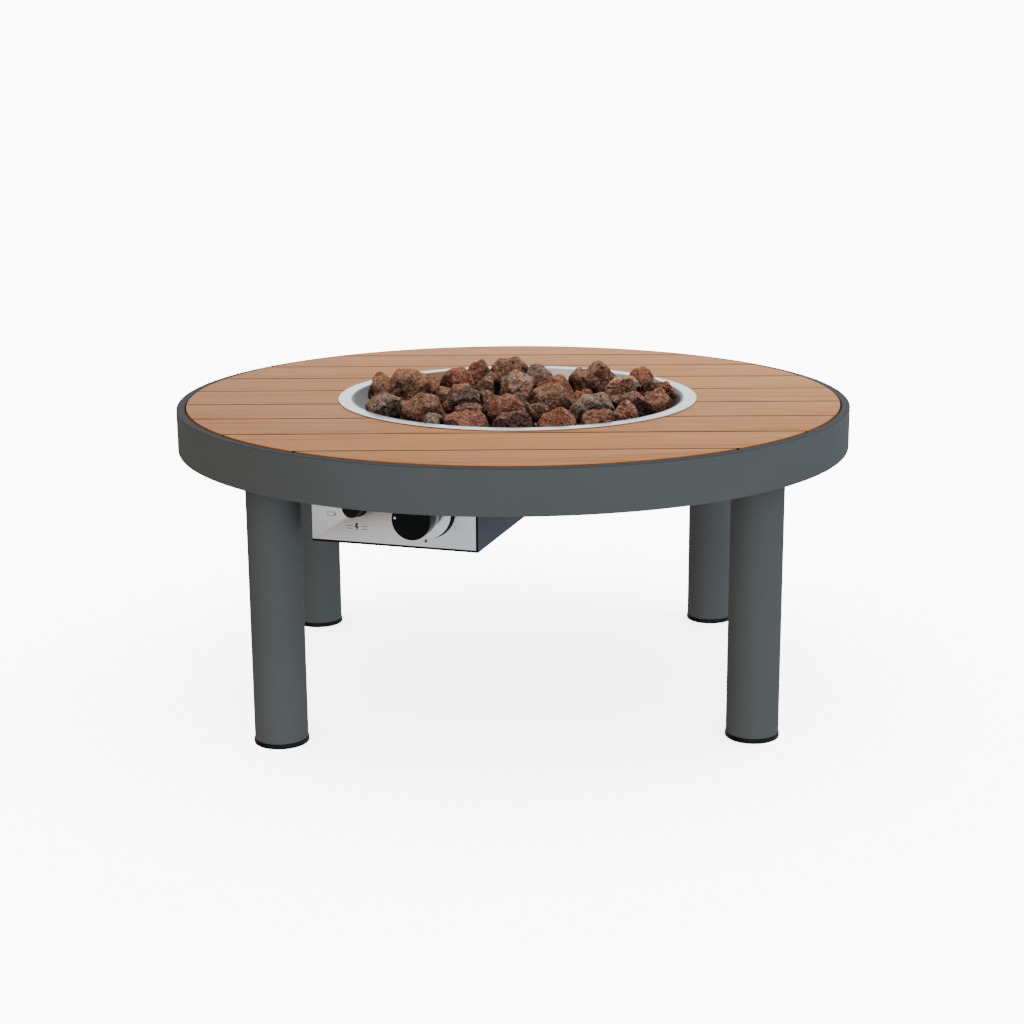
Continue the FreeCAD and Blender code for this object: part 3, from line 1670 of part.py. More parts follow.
def obstacles():
    """The burner and the ignition bracket, as blocks that enclose them."""
    blocks = []
    turn = math.radians(box_turn)
    spread = 1 / math.cos(math.pi / ring_sides)

    def turned_plan(x0, x1, y0, y1):
        plan = [(x0, y0), (x1, y0), (x1, y1), (x0, y1)]
        return [(x * math.cos(turn) + y * math.sin(turn), y * math.cos(turn) - x * math.sin(turn)) for x, y in plan]

    for reach, rise in tube_steps():
        top = burner_height + rise
        for step in range(ring_sides):
            angles = (step * 2 * math.pi / ring_sides, (step + 1) * 2 * math.pi / ring_sides)
            near = [around(burner_radius - reach, angle) for angle in angles]
            far = [around((burner_radius + reach) * spread, angle) for angle in angles]
            blocks.append(Block([far[0], far[1], near[1], near[0]], top))
        blocks.append(Block(turned_plan(-burner_radius, burner_radius, -reach, reach), top))
    half = hood_width / 2
    blocks.append(Block(turned_plan(-half, half, -hood_place - hood_depth / 2, -hood_place + hood_depth / 2),
                        bowl_floor + hood_height))
    blocks.append(Block(turned_plan(-hub_radius, hub_radius, -hub_radius, hub_radius),
                        burner_height + burner_tube_radius))
    return blocks


def hidden_stones():
    """The lower layer, in rings that leave the ignition bracket free."""
    rings = [(52, 4, 72, -36, 50, 46, -17), (112, 9, 36, -72, 56, 50, -11), (170, 13, 27.7, -81, 56, 52, -15)]
    places = []
    for radius, count, apart, start, wide, deep, crown in rings:
        for step in range(count):
            turn = start + step * apart
            x, y = around(radius, math.radians(turn))
            places.append((x, y, wide, deep, crown + stone_ripple * math.sin(math.radians(7 * turn)), turn + 90))
    return places


def inside_bowl(stone):
    """Whether a stone stands within the bowl's rim."""
    return all(math.hypot(point.x, point.y) < flange_inner_radius for point in stone.points)


def lava_stones():
    """The bowl holds those stones of the list that have room in it."""
    below = obstacles()
    solids = []
    for seed, place in enumerate(hidden_stones() + shown_stones, start=1):
        stone = Stone(seed, *place)
        if inside_bowl(stone):
            settle(stone, below)
            if stone.height > stone_least_height:
                below.append(stone)
                solids.append(in_bowl(stone.solid()))
    return group(solids)


def build():
    nodes = {"rim_band": rim_band()}
    nodes.update(boards())
    nodes.update(frame())
    nodes["slat_screws"] = group([board_screw(*place) for place in board_screw_places()])
    nodes.update(legs())
    nodes["fire_bowl"] = fire_bowl()
    nodes.update(burner())
    nodes.update(control_box())
    nodes["lava_rocks"] = lava_stones()
    return nodes


os.makedirs("parts", exist_ok=True)
for node, shape in build().items():
    shape.exportStep("parts/" + node + ".step")
    print(node, "solids", len(shape.Solids), "valid", shape.isValid(), "volume", round(shape.Volume))
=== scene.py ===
# %% [markdown]
# # A low round gas fire table
#
# The table has a slatted wooden top in a painted band, four round legs, and a steel bowl of lava
# stone in the middle. A small control box with a knob and an igniter button hangs under the front.
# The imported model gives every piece's place. This lesson builds what the eye sees round it.

# %% Load the frame
import json
import math

import bmesh
import bpy
import numpy as np
from mathutils import Matrix, Vector
from mathutils.bvhtree import BVHTree


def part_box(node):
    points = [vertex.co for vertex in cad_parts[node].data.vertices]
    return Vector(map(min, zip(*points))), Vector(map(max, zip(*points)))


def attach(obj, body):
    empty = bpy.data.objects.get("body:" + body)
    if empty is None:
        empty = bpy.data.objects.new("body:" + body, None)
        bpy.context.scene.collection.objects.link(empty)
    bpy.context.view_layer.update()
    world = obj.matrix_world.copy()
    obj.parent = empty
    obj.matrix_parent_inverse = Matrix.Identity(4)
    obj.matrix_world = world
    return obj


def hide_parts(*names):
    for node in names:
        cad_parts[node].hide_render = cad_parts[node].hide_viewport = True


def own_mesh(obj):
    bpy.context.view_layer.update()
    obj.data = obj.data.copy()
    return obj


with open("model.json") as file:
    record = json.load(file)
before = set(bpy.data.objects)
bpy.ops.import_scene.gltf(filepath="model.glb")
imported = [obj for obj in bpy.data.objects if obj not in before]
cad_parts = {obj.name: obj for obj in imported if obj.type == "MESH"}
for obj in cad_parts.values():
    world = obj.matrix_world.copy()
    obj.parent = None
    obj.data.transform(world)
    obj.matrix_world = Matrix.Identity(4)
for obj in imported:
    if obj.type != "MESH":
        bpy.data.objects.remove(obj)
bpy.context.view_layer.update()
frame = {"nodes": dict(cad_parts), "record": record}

MM = 0.001

# %% [markdown]
# ## Camera
#
# The picture was taken from about three metres, a metre above the floor, with a long lens. A camera
# could be placed by eye, but the rims of the top and of the bowl are circles, and four legs stand on
# one floor, so their shapes give its place and its lens. The view was cropped later, which a small
# sideways shift of the lens makes up for.

# %% Camera
PICTURE_WIDTH = 1024.0
FOCAL_PIXELS = 1892.5
SENSOR = 36.0
CAMERA_PLACE = Vector((-0.0157, -2.9971, 1.0157))
CAMERA_TURN = math.radians(1.846)
CAMERA_DIP = math.radians(13.874)
MIDDLE_PIXEL = 564.92


def make_camera():
    data = bpy.data.cameras.new("camera")
    data.sensor_width = SENSOR
    data.lens = FOCAL_PIXELS / PICTURE_WIDTH * SENSOR
    data.shift_x = (PICTURE_WIDTH / 2 - MIDDLE_PIXEL) / PICTURE_WIDTH
    camera = bpy.data.objects.new("camera", data)
    bpy.context.scene.collection.objects.link(camera)
    camera.location = CAMERA_PLACE
    camera.rotation_euler = (math.pi / 2 - CAMERA_DIP, 0.0, -CAMERA_TURN)
    bpy.context.scene.camera = camera
    return camera


camera = make_camera()
print("lens", round(camera.data.lens, 2), "shift", round(camera.data.shift_x, 4))

# %% [markdown]
# ## Finishes as arithmetic
#
# A node tree for a finish is easier to read as a formula than as a page of links. One small class
# wraps a socket, and Python's own operators add the Math nodes. Every other node comes from one method.

# %% Sockets that can be added and multiplied
class Field:
    """A value that changes over a surface, as a socket of its finish."""

    def __init__(self, graph, socket):
        self.graph = graph
        self.socket = socket

    def maths(self, operation, first, second=None):
        inputs = {0: first} if second is None else {0: first, 1: second}
        return self.graph.node("ShaderNodeMath", {"operation": operation}, inputs)

    def __add__(self, other):
        return self.maths("ADD", self, other)

    __radd__ = __add__

    def __mul__(self, other):
        return self.maths("MULTIPLY", self, other)

    __rmul__ = __mul__

    def __sub__(self, other):
        return self.maths("SUBTRACT", self, other)

    def __rsub__(self, other):
        return self.maths("SUBTRACT", other, self)

    def __truediv__(self, other):
        return self.maths("DIVIDE", self, other)

    def floor(self):
        return self.maths("FLOOR", self)

    def fraction(self):
        return self.maths("FRACT", self)

    def root(self):
        return self.maths("SQRT", self)

    def between(self, low, high):
        """Goes smoothly from 0 to 1 while this value goes from low to high."""
        settings = {"interpolation_type": "SMOOTHSTEP"}
        return self.graph.node("ShaderNodeMapRange", settings, {0: self, 1: low, 2: high})


class Graph:
    """A node tree, with one method that adds any node to it."""

    def __init__(self, tree):
        self.tree = tree

    def node(self, kind, settings, inputs, output=0):
        node = self.tree.nodes.new(kind)
        for key, value in settings.items():
            setattr(node, key, value)
        for key, value in inputs.items():
            socket = node.inputs[key]
            if isinstance(value, Field):
                self.tree.links.new(value.socket, socket)
            else:
                socket.default_value = value
        return Field(self, node.outputs[output])

    def mix(self, share, first, second):
        return self.node("ShaderNodeMix", {"data_type": "RGBA"}, {0: share, 6: first, 7: second}, 2)


# %% [markdown]
# ## Floor and light
#
# A white paper floor that runs on to a wall just as white leaves no horizon in the picture. White paper
# in the light that suits dark paint looks grey, so the floor glows a little of its own and has a wide
# lamp to itself. Neither may brighten the table, so rays that leave the table don't see the paper. They
# see the sky, which stands for the studio: cool and bright in front, brighter still behind, dimmer on
# the right and below, and brown and nearly dark on the left. That is why round legs look warm and dark
# on their left side.

# %% Floor and wall
FLOOR_SIZE = 80.0
WALL_RADIUS = 34.0
WALL_HEIGHT = 30.0
PAPER_WHITE = (0.9, 0.9, 0.9, 1.0)
PAPER_GLOW = 3.0
WALL_GLOW = 10.6


def glowing(name, colour, glow):
    material = bpy.data.materials.new(name)
    material.use_nodes = True
    shader = material.node_tree.nodes["Principled BSDF"]
    shader.inputs["Base Color"].default_value = colour
    shader.inputs["Roughness"].default_value = 1.0
    shader.inputs["Specular IOR Level"].default_value = 0.0
    shader.inputs["Emission Color"].default_value = (1.0, 1.0, 1.0, 1.0)
    shader.inputs["Emission Strength"].default_value = glow
    return material


def stage_piece(name, corners, faces, material):
    """A part of the studio. The camera sees it, and the table's own light doesn't."""
    mesh = bpy.data.meshes.new(name)
    mesh.from_pydata(corners, [], faces)
    mesh.materials.append(material)
    piece = bpy.data.objects.new(name, mesh)
    bpy.context.scene.collection.objects.link(piece)
    piece.visible_diffuse = False
    piece.visible_glossy = False
    return piece


def make_floor():
    half = FLOOR_SIZE / 2
    corners = [(-half, -half, 0), (half, -half, 0), (half, half, 0), (-half, half, 0)]
    return stage_piece("floor", corners, [(0, 1, 2, 3)], glowing("white paper", PAPER_WHITE, PAPER_GLOW))


def make_wall(steps=64):
    """A round wall about the studio, so that the picture is white from every side."""
    corners = []
    for step in range(steps):
        angle = 2 * math.pi * step / steps
        x, y = WALL_RADIUS * math.cos(angle), WALL_RADIUS * math.sin(angle)
        corners += [(x, y, 0.0), (x, y, WALL_HEIGHT)]
    faces = []
    for step in range(steps):
        here, after = 2 * step, 2 * ((step + 1) % steps)
        faces.append((here, after, after + 1, here + 1))
    wall = stage_piece("studio wall", corners, faces, glowing("wall paper", (0.0, 0.0, 0.0, 1.0), WALL_GLOW))
    wall.visible_shadow = False
    return wall


floor = make_floor()
make_wall()

# %% Sky
FRONT_LIGHT = (1.45, 1.49, 1.55, 1.0)
REAR_LIGHT = (1.7, 1.8, 1.92, 1.0)
LEFT_LIGHT = (0.2, 0.09, 0.02, 1.0)
RIGHT_LIGHT = (0.6, 0.67, 0.78, 1.0)
FLOOR_LIGHT = (0.8, 0.83, 0.86, 1.0)
REAR_FLOOR_LIGHT = (0.4, 0.43, 0.47, 1.0)


def make_sky():
    world = bpy.data.worlds.new("studio sky")
    world.use_nodes = True
    sky = Graph(world.node_tree)
    direction = sky.node("ShaderNodeTexCoord", {}, {}, "Generated")
    x, y, z = [sky.node("ShaderNodeSeparateXYZ", {}, {0: direction}, index) for index in range(3)]
    behind = y.between(0.45, 0.95) * (1 - z.between(0.2, 0.6)) * x.between(-0.5, -0.1)
    below = 1 - z.between(-0.2, 0.05)
    left = (1 - x.between(-0.85, -0.1)) * (1 - below) + (1 - x.between(-0.92, -0.55)) * below
    light = sky.mix(behind, FRONT_LIGHT, REAR_LIGHT)
    light = sky.mix(x.between(0.05, 0.6), light, RIGHT_LIGHT)
    light = sky.mix(below, light, sky.mix(y.between(0.4, 0.9), FLOOR_LIGHT, REAR_FLOOR_LIGHT))
    light = sky.mix(left, light, LEFT_LIGHT)
    sky.tree.links.new(light.socket, sky.tree.nodes["Background"].inputs["Color"])
    bpy.context.scene.world = world


def make_lamp(name, kind, turn, power):
    data = bpy.data.lights.new(name, kind)
    data.energy = power
    lamp = bpy.data.objects.new(name, data)
    bpy.context.scene.collection.objects.link(lamp)
    lamp.rotation_euler = turn
    return lamp


def only_for(lamp, piece):
    """Lets a lamp light one piece alone. The other pieces still throw their shadow on it."""
    lit = bpy.data.collections.new("lit by " + lamp.name)
    lit.objects.link(piece)
    lamp.light_linking.receiver_collection = lit


make_sky()
top_lamp = make_lamp("top lamp", "AREA", (0.0, 0.0, 0.0), 40.0)
top_lamp.location = (0.9, 0.8, 2.3)
top_lamp.data.size = 1.6
top_lamp.visible_glossy = False
floor_lamp = make_lamp("floor lamp", "SUN", (0.0, 0.0, 0.0), 24.0)
floor_lamp.data.angle = math.radians(150.0)
only_for(floor_lamp, floor)
print("lamps", [light.name for light in bpy.data.lights])

# %% One finish
def tone(red, green, blue):
    """A colour as a screen shows it, from 0 to 255, in the linear values that a shader takes."""
    values = []
    for part in (red, green, blue):
        share = part / 255
        values.append(share / 12.92 if share <= 0.04045 else ((share + 0.055) / 1.055) ** 2.4)
    return (*values, 1.0)


class Finish(Graph):
    """A material made of fields."""

    def __init__(self, name, place=Matrix.Identity(4)):
        self.material = bpy.data.materials.new(name)
        self.material.use_nodes = True
        super().__init__(self.material.node_tree)
        self.tree.nodes.clear()
        self.shader = self.tree.nodes.new("ShaderNodeBsdfPrincipled")
        out = self.tree.nodes.new("ShaderNodeOutputMaterial")
        self.tree.links.new(self.shader.outputs[0], out.inputs[0])
        coordinates = self.node("ShaderNodeTexCoord", {}, {}, "Object")
        turn = place.to_euler()
        mapping = {"Vector": coordinates, "Location": place.translation, "Rotation": turn}
        self.at = self.node("ShaderNodeMapping", {"vector_type": "TEXTURE"}, mapping)

    def axes(self, vector=None):
        vector = vector or self.at
        return [self.node("ShaderNodeSeparateXYZ", {}, {0: vector}, index) for index in range(3)]

    def vector(self, x, y, z):
        return self.node("ShaderNodeCombineXYZ", {}, {0: x, 1: y, 2: z})

    def stretched(self, x, y, z):
        """The place on the surface, with each axis multiplied."""
        return self.node("ShaderNodeVectorMath", {"operation": "MULTIPLY"}, {0: self.at, 1: (x, y, z)})

    def noise(self, scale, detail=2.0, rough=0.5, vector=None):
        values = {"Vector": vector or self.at, "Scale": scale, "Detail": detail, "Roughness": rough}
        return self.node("ShaderNodeTexNoise", {}, values, "Fac")

    def cells(self, scale, vector):
        return self.node("ShaderNodeTexVoronoi", {}, {"Vector": vector, "Scale": scale}, "Distance")

    def set(self, **values):
        """Sets or links the shader's sockets. Their names are written with underscores."""
        for key, value in values.items():
            socket = self.shader.inputs[key.replace("_", " ")]
            if isinstance(value, Field):
                self.tree.links.new(value.socket, socket)
            else:
                socket.default_value = value
        return self

    def bump(self, height, depth):
        """Turns a height from 0 to 1 into relief of a depth in metres."""
        return self.node("ShaderNodeBump", {}, {"Height": height, "Distance": depth, "Strength": 1.0})


print("finish helpers ready")

# %% [markdown]
# ## Shapes that are turned on a lathe
#
# The band, the bowl, the legs and the knob are all round about an axis. A lathe turns an outline of
# radius and height about that axis. The outline's corners get small arcs first, because no real edge
# is quite sharp, and it is the arc that catches the light.

# %% Lathe helpers
def rounded(points, closed=True, steps=6):
    """Rounds an outline. Each point is (radius, height) or (radius, height, size of its arc)."""
    result = []
    count = len(points)
    for index, point in enumerate(points):
        corner = Vector(point[:2])
        size = point[2] if len(point) > 2 else 0.0
        if size <= 0 or (not closed and index in (0, count - 1)):
            result.append(tuple(corner))
            continue
        before = (Vector(points[index - 1][:2]) - corner).normalized()
        after = (Vector(points[(index + 1) % count][:2]) - corner).normalized()
        half = before.angle(after) / 2
        start = corner + before * size / math.tan(half)
        end = corner + after * size / math.tan(half)
        centre = corner + (before + after).normalized() * size / math.sin(half)
        first = start - centre
        last = end - centre
        sweep = first.angle_signed(last)
        for step in range(steps + 1):
            turn = Matrix.Rotation(-sweep * step / steps, 2)
            result.append(tuple(centre + turn @ first))
    return result


def new_object(name, mesh):
    piece = bpy.data.objects.new(name, mesh)
    bpy.context.scene.collection.objects.link(piece)
    return piece


def outward(mesh):
    """Points every face of a closed mesh outwards."""
    work = bmesh.new()
    work.from_mesh(mesh)
    bmesh.ops.recalc_face_normals(work, faces=work.faces)
    work.to_mesh(mesh)
    work.free()


def smooth(mesh, angle=32.0):
    mesh.polygons.foreach_set("use_smooth", [True] * len(mesh.polygons))
    mesh.set_sharp_from_angle(angle=math.radians(angle))


def lathe(name, outline, segments=160, place=Matrix.Identity(4), sharp=32.0):
    """Turns an outline about Z. It is a ring if it never meets the axis, and else a solid."""
    corners = []
    rings = []
    for radius, height in outline:
        first = len(corners)
        if radius < 1e-6:
            corners.append((0.0, 0.0, height))
            rings.append([first] * segments)
            continue
        rings.append(list(range(first, first + segments)))
        for step in range(segments):
            angle = 2 * math.pi * step / segments
            corners.append((radius * math.cos(angle), radius * math.sin(angle), height))
    pairs = list(zip(rings, rings[1:]))
    if min(radius for radius, height in outline) > 1e-6:
        pairs.append((rings[-1], rings[0]))
    faces = []
    for low, high in pairs:
        for step in range(segments):
            after = (step + 1) % segments
            face = list(dict.fromkeys((low[step], low[after], high[after], high[step])))
            if len(face) > 2:
                faces.append(face)
    mesh = bpy.data.meshes.new(name)
    mesh.from_pydata(corners, [], faces)
    mesh.transform(place)
    outward(mesh)
    smooth(mesh, sharp)
    return new_object(name, mesh)


def finish_piece(piece, body, slot, material, *nodes):
    """Gives a piece its finish and its body, and hides the nodes that it stands for. The slot is not used."""
    piece.data.materials.clear()
    piece.data.materials.append(material)
    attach(piece, body)
    if nodes:
        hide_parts(*nodes)
    print(piece.name, "faces", len(piece.data.polygons), "on", body)
    return piece


# %% [markdown]
# ## Finishes of the metal and plastic
#
# A plain colour looks like a toy. Powder paint has a fine skin like an orange's, sheet metal has the
# lines of its grinding, and moulded plastic a faint grain. Each of these is a pattern of its own size,
# so each finish names its sizes.

# %% Painted metal
BAND_TOP = 466.0 * MM


def powder_coat(name, colour, dust):
    paint = Finish(name)
    cloud = paint.noise(4.0, 3.0)
    skin = paint.noise(1500.0, 2.0, 0.6)
    speck = paint.noise(420.0, 3.0, 0.6)
    # Painted shade: a thin line just under the band's top, where it meets the boards, is darkened nearly to
    # black.
    rim_shade = paint.axes()[2].between(BAND_TOP - 1.2 * MM, BAND_TOP - 0.1 * MM)
    base = paint.mix(cloud.between(0.3, 0.7), colour, dust)
    base = paint.mix(rim_shade * 0.85, base, tone(38, 41, 43))
    paint.set(Base_Color=base, Roughness=0.62 + 0.12 * speck, Metallic=0.0, Specular_IOR_Level=0.12)
    paint.set(Normal=paint.bump(skin, 0.00012))
    return paint.material


table_paint = powder_coat("slate powder paint", tone(97, 101, 100), tone(93, 97, 96))
box_paint = powder_coat("box powder paint", tone(94, 100, 108), tone(88, 94, 102))


# %% Metals
def darker(colour, share):
    return tuple(share * part for part in colour[:3]) + (1.0,)


def ground_metal(name, colour, rough, lines, place=Matrix.Identity(4), depth=0.00001):
    """Metal with grinding lines. lines says how fast the pattern changes along each axis."""
    metal = Finish(name, place)
    grain = metal.noise(1.0, 3.0, 0.6, metal.stretched(*lines))
    smear = metal.noise(9.0, 2.0)
    base = metal.mix(grain.between(0.25, 0.75), colour, darker(colour, 0.86))
    metal.set(Base_Color=base, Metallic=1.0)
    metal.set(Roughness=rough + 0.14 * (grain - 0.5) + 0.08 * (smear - 0.5))
    metal.set(Normal=metal.bump(grain, depth))
    return metal.material


RING_LINES = 2600.0
HOT_START = 263.5 * MM
HOT_END = 268.5 * MM
# Where the painted shadow at the flange's outer edge starts and ends.
FLANGE_SHADOW_START = 285.6 * MM
FLANGE_SHADOW_END = 286.3 * MM


def turned_metal(name, colour, rough, centre):
    """Metal that was polished while it turned, so its lines run round a centre."""
    metal = Finish(name, Matrix.Translation(centre))
    x, y, z = metal.axes()
    radius = (x * x + y * y).root()
    rounds = metal.noise(1.0, 2.0, 0.6, metal.vector(radius * RING_LINES, x * 6.0, z * RING_LINES))
    smear = metal.noise(11.0, 2.0)
    base = metal.mix(rounds.between(0.3, 0.7), colour, darker(colour, 0.9))
    metal.set(Base_Color=base, Metallic=1.0)
    metal.set(Roughness=rough + 0.1 * (rounds - 0.5) + 0.08 * (smear - 0.5))
    metal.set(Normal=metal.bump(rounds, 0.00001))
    return metal.material


bowl_low, bowl_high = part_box("fire_bowl")
bowl_middle = Vector(((bowl_low.x + bowl_high.x) / 2, (bowl_low.y + bowl_high.y) / 2, 0.0))
bowl_steel = turned_metal("spun stainless steel", tone(224, 221, 216), 0.3, bowl_middle)


def bowl_finish():
    """Bright flange, heat-dulled inside; painted reflection and highlight inside, painted shadow at the rim.
    """
    steel = Finish("heated bowl steel", Matrix.Translation(bowl_middle))
    x, y, z = steel.axes()
    radius = (x * x + y * y).root()
    rounds = steel.noise(1.0, 2.0, 0.6, steel.vector(radius * RING_LINES, x * 6.0, z * RING_LINES))
    cloud = steel.noise(7.0, 3.0)
    inside = 1 - radius.between(HOT_START, HOT_END)
    # Painted reflection and highlight, partly heat tint: the rear inner wall is straw-coloured to the left
    # and pale to the right, standing in for the mirrored studio and lamp.
    rear = (y / radius).between(0.2, 0.95)
    grey = steel.mix(cloud.between(0.3, 0.7), tone(104, 100, 96), tone(86, 81, 77))
    straw_tint_and_reflection = steel.mix(cloud.between(0.35, 0.6), tone(172, 134, 96), tone(122, 104, 82))
    pale_tint_and_highlight = steel.mix(cloud.between(0.3, 0.7), tone(226, 216, 198), tone(176, 164, 146))
    straw_tint_and_reflection = steel.mix((x / radius + 0.6 * (cloud - 0.5)).between(-0.5, 0.4), straw_tint_and_reflection, pale_tint_and_highlight)
    heat_tint_and_reflection = steel.mix(rear * 0.85, grey, straw_tint_and_reflection)
    bright = steel.mix(rounds.between(0.3, 0.7), tone(236, 237, 239), tone(224, 226, 229))
    # Painted shadow: the flange's outer edge is darkened where it lies on the boards.
    edge = radius.between(FLANGE_SHADOW_START, FLANGE_SHADOW_END)
    base = steel.mix(edge * 0.8, steel.mix(inside, bright, heat_tint_and_reflection), tone(92, 78, 70))
    steel.set(Base_Color=base, Metallic=1.0)
    steel.set(Roughness=0.3 + 0.16 * inside + 0.1 * (rounds - 0.5) + 0.08 * (cloud - 0.5))
    steel.set(Normal=steel.bump(rounds, 0.00001))
    return steel.material


fire_bowl_steel = bowl_finish()
frame_aluminium = ground_metal("mill aluminium", tone(200, 202, 204), 0.42, (60.0, 60.0, 60.0))
zinc = ground_metal("zinc plate", tone(178, 180, 182), 0.38, (300.0, 300.0, 300.0))
brass = ground_metal("machined brass", tone(205, 168, 98), 0.3, (500.0, 500.0, 500.0))
cast_metal = ground_metal("cast aluminium", tone(172, 173, 175), 0.55, (700.0, 700.0, 700.0), depth=0.00008)
spring_steel = ground_metal("spring steel", tone(168, 168, 170), 0.28, (800.0, 800.0, 800.0))


# %% Plastics and small finishes
def moulded(name, colour, rough, grain=900.0, depth=0.00002, shine=0.35):
    """Moulded plastic, rubber or glaze: one colour with a faint grain."""
    plastic = Finish(name)
    skin = plastic.noise(grain, 2.0, 0.6)
    patch = plastic.noise(40.0, 2.0)
    lighter = tuple(min(1.0, part * 1.35 + 0.002) for part in colour[:3]) + (1.0,)
    plastic.set(Base_Color=plastic.mix(patch.between(0.35, 0.75), colour, lighter))
    plastic.set(Roughness=rough + 0.08 * (skin - 0.5), Metallic=0.0, Specular_IOR_Level=shine)
    plastic.set(Normal=plastic.bump(skin, depth))
    return plastic.material


black_gloss = moulded("glossy black plastic", tone(5, 5, 6), 0.16, 1400.0, 0.000004, 0.1)
satin_black = moulded("satin black plastic", tone(5, 5, 6), 0.5, shine=0.03)
black_plastic = moulded("matt black plastic", tone(12, 12, 13), 0.42, shine=0.18)
black_rubber = moulded("black rubber", tone(20, 20, 21), 0.7, 1200.0, shine=0.15)
white_ceramic = moulded("white ceramic", tone(236, 232, 222), 0.25, 300.0, 0.000005)
white_mark = moulded("white paint", tone(236, 248, 252), 0.35)
cell_case = moulded("cell case", tone(120, 122, 128), 0.3)
ink = moulded("printed ink", tone(58, 48, 44), 0.5)
chrome = ground_metal("bright chrome", tone(246, 249, 252), 0.2, (30.0, 30.0, 30.0), depth=0.000001)

finishes = {
    "table_paint": table_paint,
    "frame_aluminium": frame_aluminium,
    "fastener_steel": zinc,
    "black_plastic": black_plastic,
    "stainless_sheet": bowl_steel,
    "gas_brass": brass,
    "cast_aluminium": cast_metal,
    "white_ceramic": white_ceramic,
    "lead_rubber": black_rubber,
    "spring_steel": spring_steel,
    "black_gloss": black_gloss,
    "bezel_chrome": chrome,
    "white_mark": white_mark,
    "battery_case": cell_case,
}
print("finishes", len(bpy.data.materials))

# %% [markdown]
# ## Wood
#
# The boards are sawn from teak-like planks and only oiled. A picture of wood could be wrapped on, but
# real grain is a solid thing: the yearly rings are tubes round the tree's heart, and a board shows
# where it cuts them. So the pattern is the distance from a heart that lies near each board, bent by a
# slow noise. Every board gets a heart of its own, from its number in the row, and where the bowl's
# hole cuts a board in two, each part is wood of its own.

# %% Wood finish
DECK_RADIUS = 518.0 * MM
HOLE_RADIUS = 276.0 * MM
deck_low, deck_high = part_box("slat_5")
EDGE_START = deck_high.z - 0.3 * MM
EDGE_END = deck_high.z - 0.05 * MM
YEAR_WIDTH = 4.2 * MM  # from one yearly ring to the next
END_START = DECK_RADIUS - 1.2 * MM
END_END = DECK_RADIUS - 0.2 * MM


def teak(pitch):
    wood = Finish("oiled teak")
    x, y, z = wood.axes()
    row = (y / pitch + 0.5).floor()
    split = 1 - (row * row * pitch * pitch).between(0.9 * HOLE_RADIUS ** 2, 1.1 * HOLE_RADIUS ** 2)
    number = row * 2.0 + x.between(-0.001, 0.001) * split
    chance = wood.node("ShaderNodeTexWhiteNoise", {"noise_dimensions": "1D"}, {"W": number + 0.37}, "Color")
    first, second, third = wood.axes(chance)
    across = y - row * pitch
    wander = wood.noise(1.0, 2.0, 0.5, wood.vector(x * 1.7 + number * 3.1, number * 5.3, 0.0))
    ripple = wood.noise(1.0, 3.0, 0.5, wood.vector(x * 6.0 + number * 7.0, y * 30.0, z * 30.0))
    heart_y = across + (first - 0.5) * 0.12 + (wander - 0.5) * 0.06
    heart_z = z - 0.42 + second * 0.05 + (x + third) * 0.012
    ring = (heart_y * heart_y + heart_z * heart_z).root() + 0.006 * (ripple - 0.5)
    years = (ring / YEAR_WIDTH).fraction()
    late = years.between(0.35, 0.9) * (1 - years.between(0.93, 1.0))
    fibre = wood.noise(1.0, 4.0, 0.65, wood.vector(x * 9.0 + number * 11.0, y * 900.0, z * 900.0))
    pores = wood.noise(1.0, 2.0, 0.5, wood.vector(x * 26.0 + number * 5.0, y * 1500.0, z * 1500.0))
    pore = pores.between(0.62, 0.74)
    streak = wood.noise(1.0, 2.0, 0.5, wood.vector(x * 1.2 + number * 2.0, y * 70.0, z * 70.0))
    pale = wood.mix(third, tone(197, 136, 77), tone(189, 125, 65))
    dark = wood.mix(first, tone(160, 106, 64), tone(148, 96, 56))
    base = wood.mix(late * 0.5 + (fibre - 0.2) * 0.5, pale, dark)
    base = wood.mix(streak.between(0.45, 0.75) * 0.6, base, tone(146, 94, 58))
    base = wood.mix(pore * 0.45, base, tone(108, 68, 42))
    radius = (x * x + y * y).root()
    # Painted shade: the boards' sides, in the joints and round the hole, are darkened nearly to black; the
    # outer ends get an orange end-grain colour.
    sawn = 1 - z.between(EDGE_START, EDGE_END)
    rim = radius.between(END_START, END_END)
    base = wood.mix(sawn * 0.95, base, wood.mix(rim, tone(24, 16, 13), tone(170, 98, 44)))
    relief = 0.55 * fibre + 0.3 * (1 - late) - 0.6 * pore
    wood.set(Base_Color=base, Roughness=0.55 + 0.14 * fibre, Specular_IOR_Level=0.22)
    wood.set(Normal=wood.bump(relief, 0.00025))
    return wood.material


BOARD_PITCH = 118.4 * MM
teak_finish = teak(BOARD_PITCH)
finishes["deck_wood"] = teak_finish
print("wood nodes", len(teak_finish.node_tree.nodes))

# %% [markdown]
# ## The boards
#
# Nine equal boards lie side by side at a steady pitch, and their ends follow one circle. That is a
# rule, so Geometry Nodes make them: a row of blanks, cut by a round deck, with the bowl's hole taken
# out. The sizes are inputs of the tree. A bevel then breaks every edge, as a router would.

# %% A geometry tree with named inputs
def evaluated_mesh(piece):
    """A plain mesh of a piece, with its modifiers or its curve worked out."""
    bpy.context.view_layer.update()
    graph = bpy.context.evaluated_depsgraph_get()
    return bpy.data.meshes.new_from_object(piece.evaluated_get(graph))


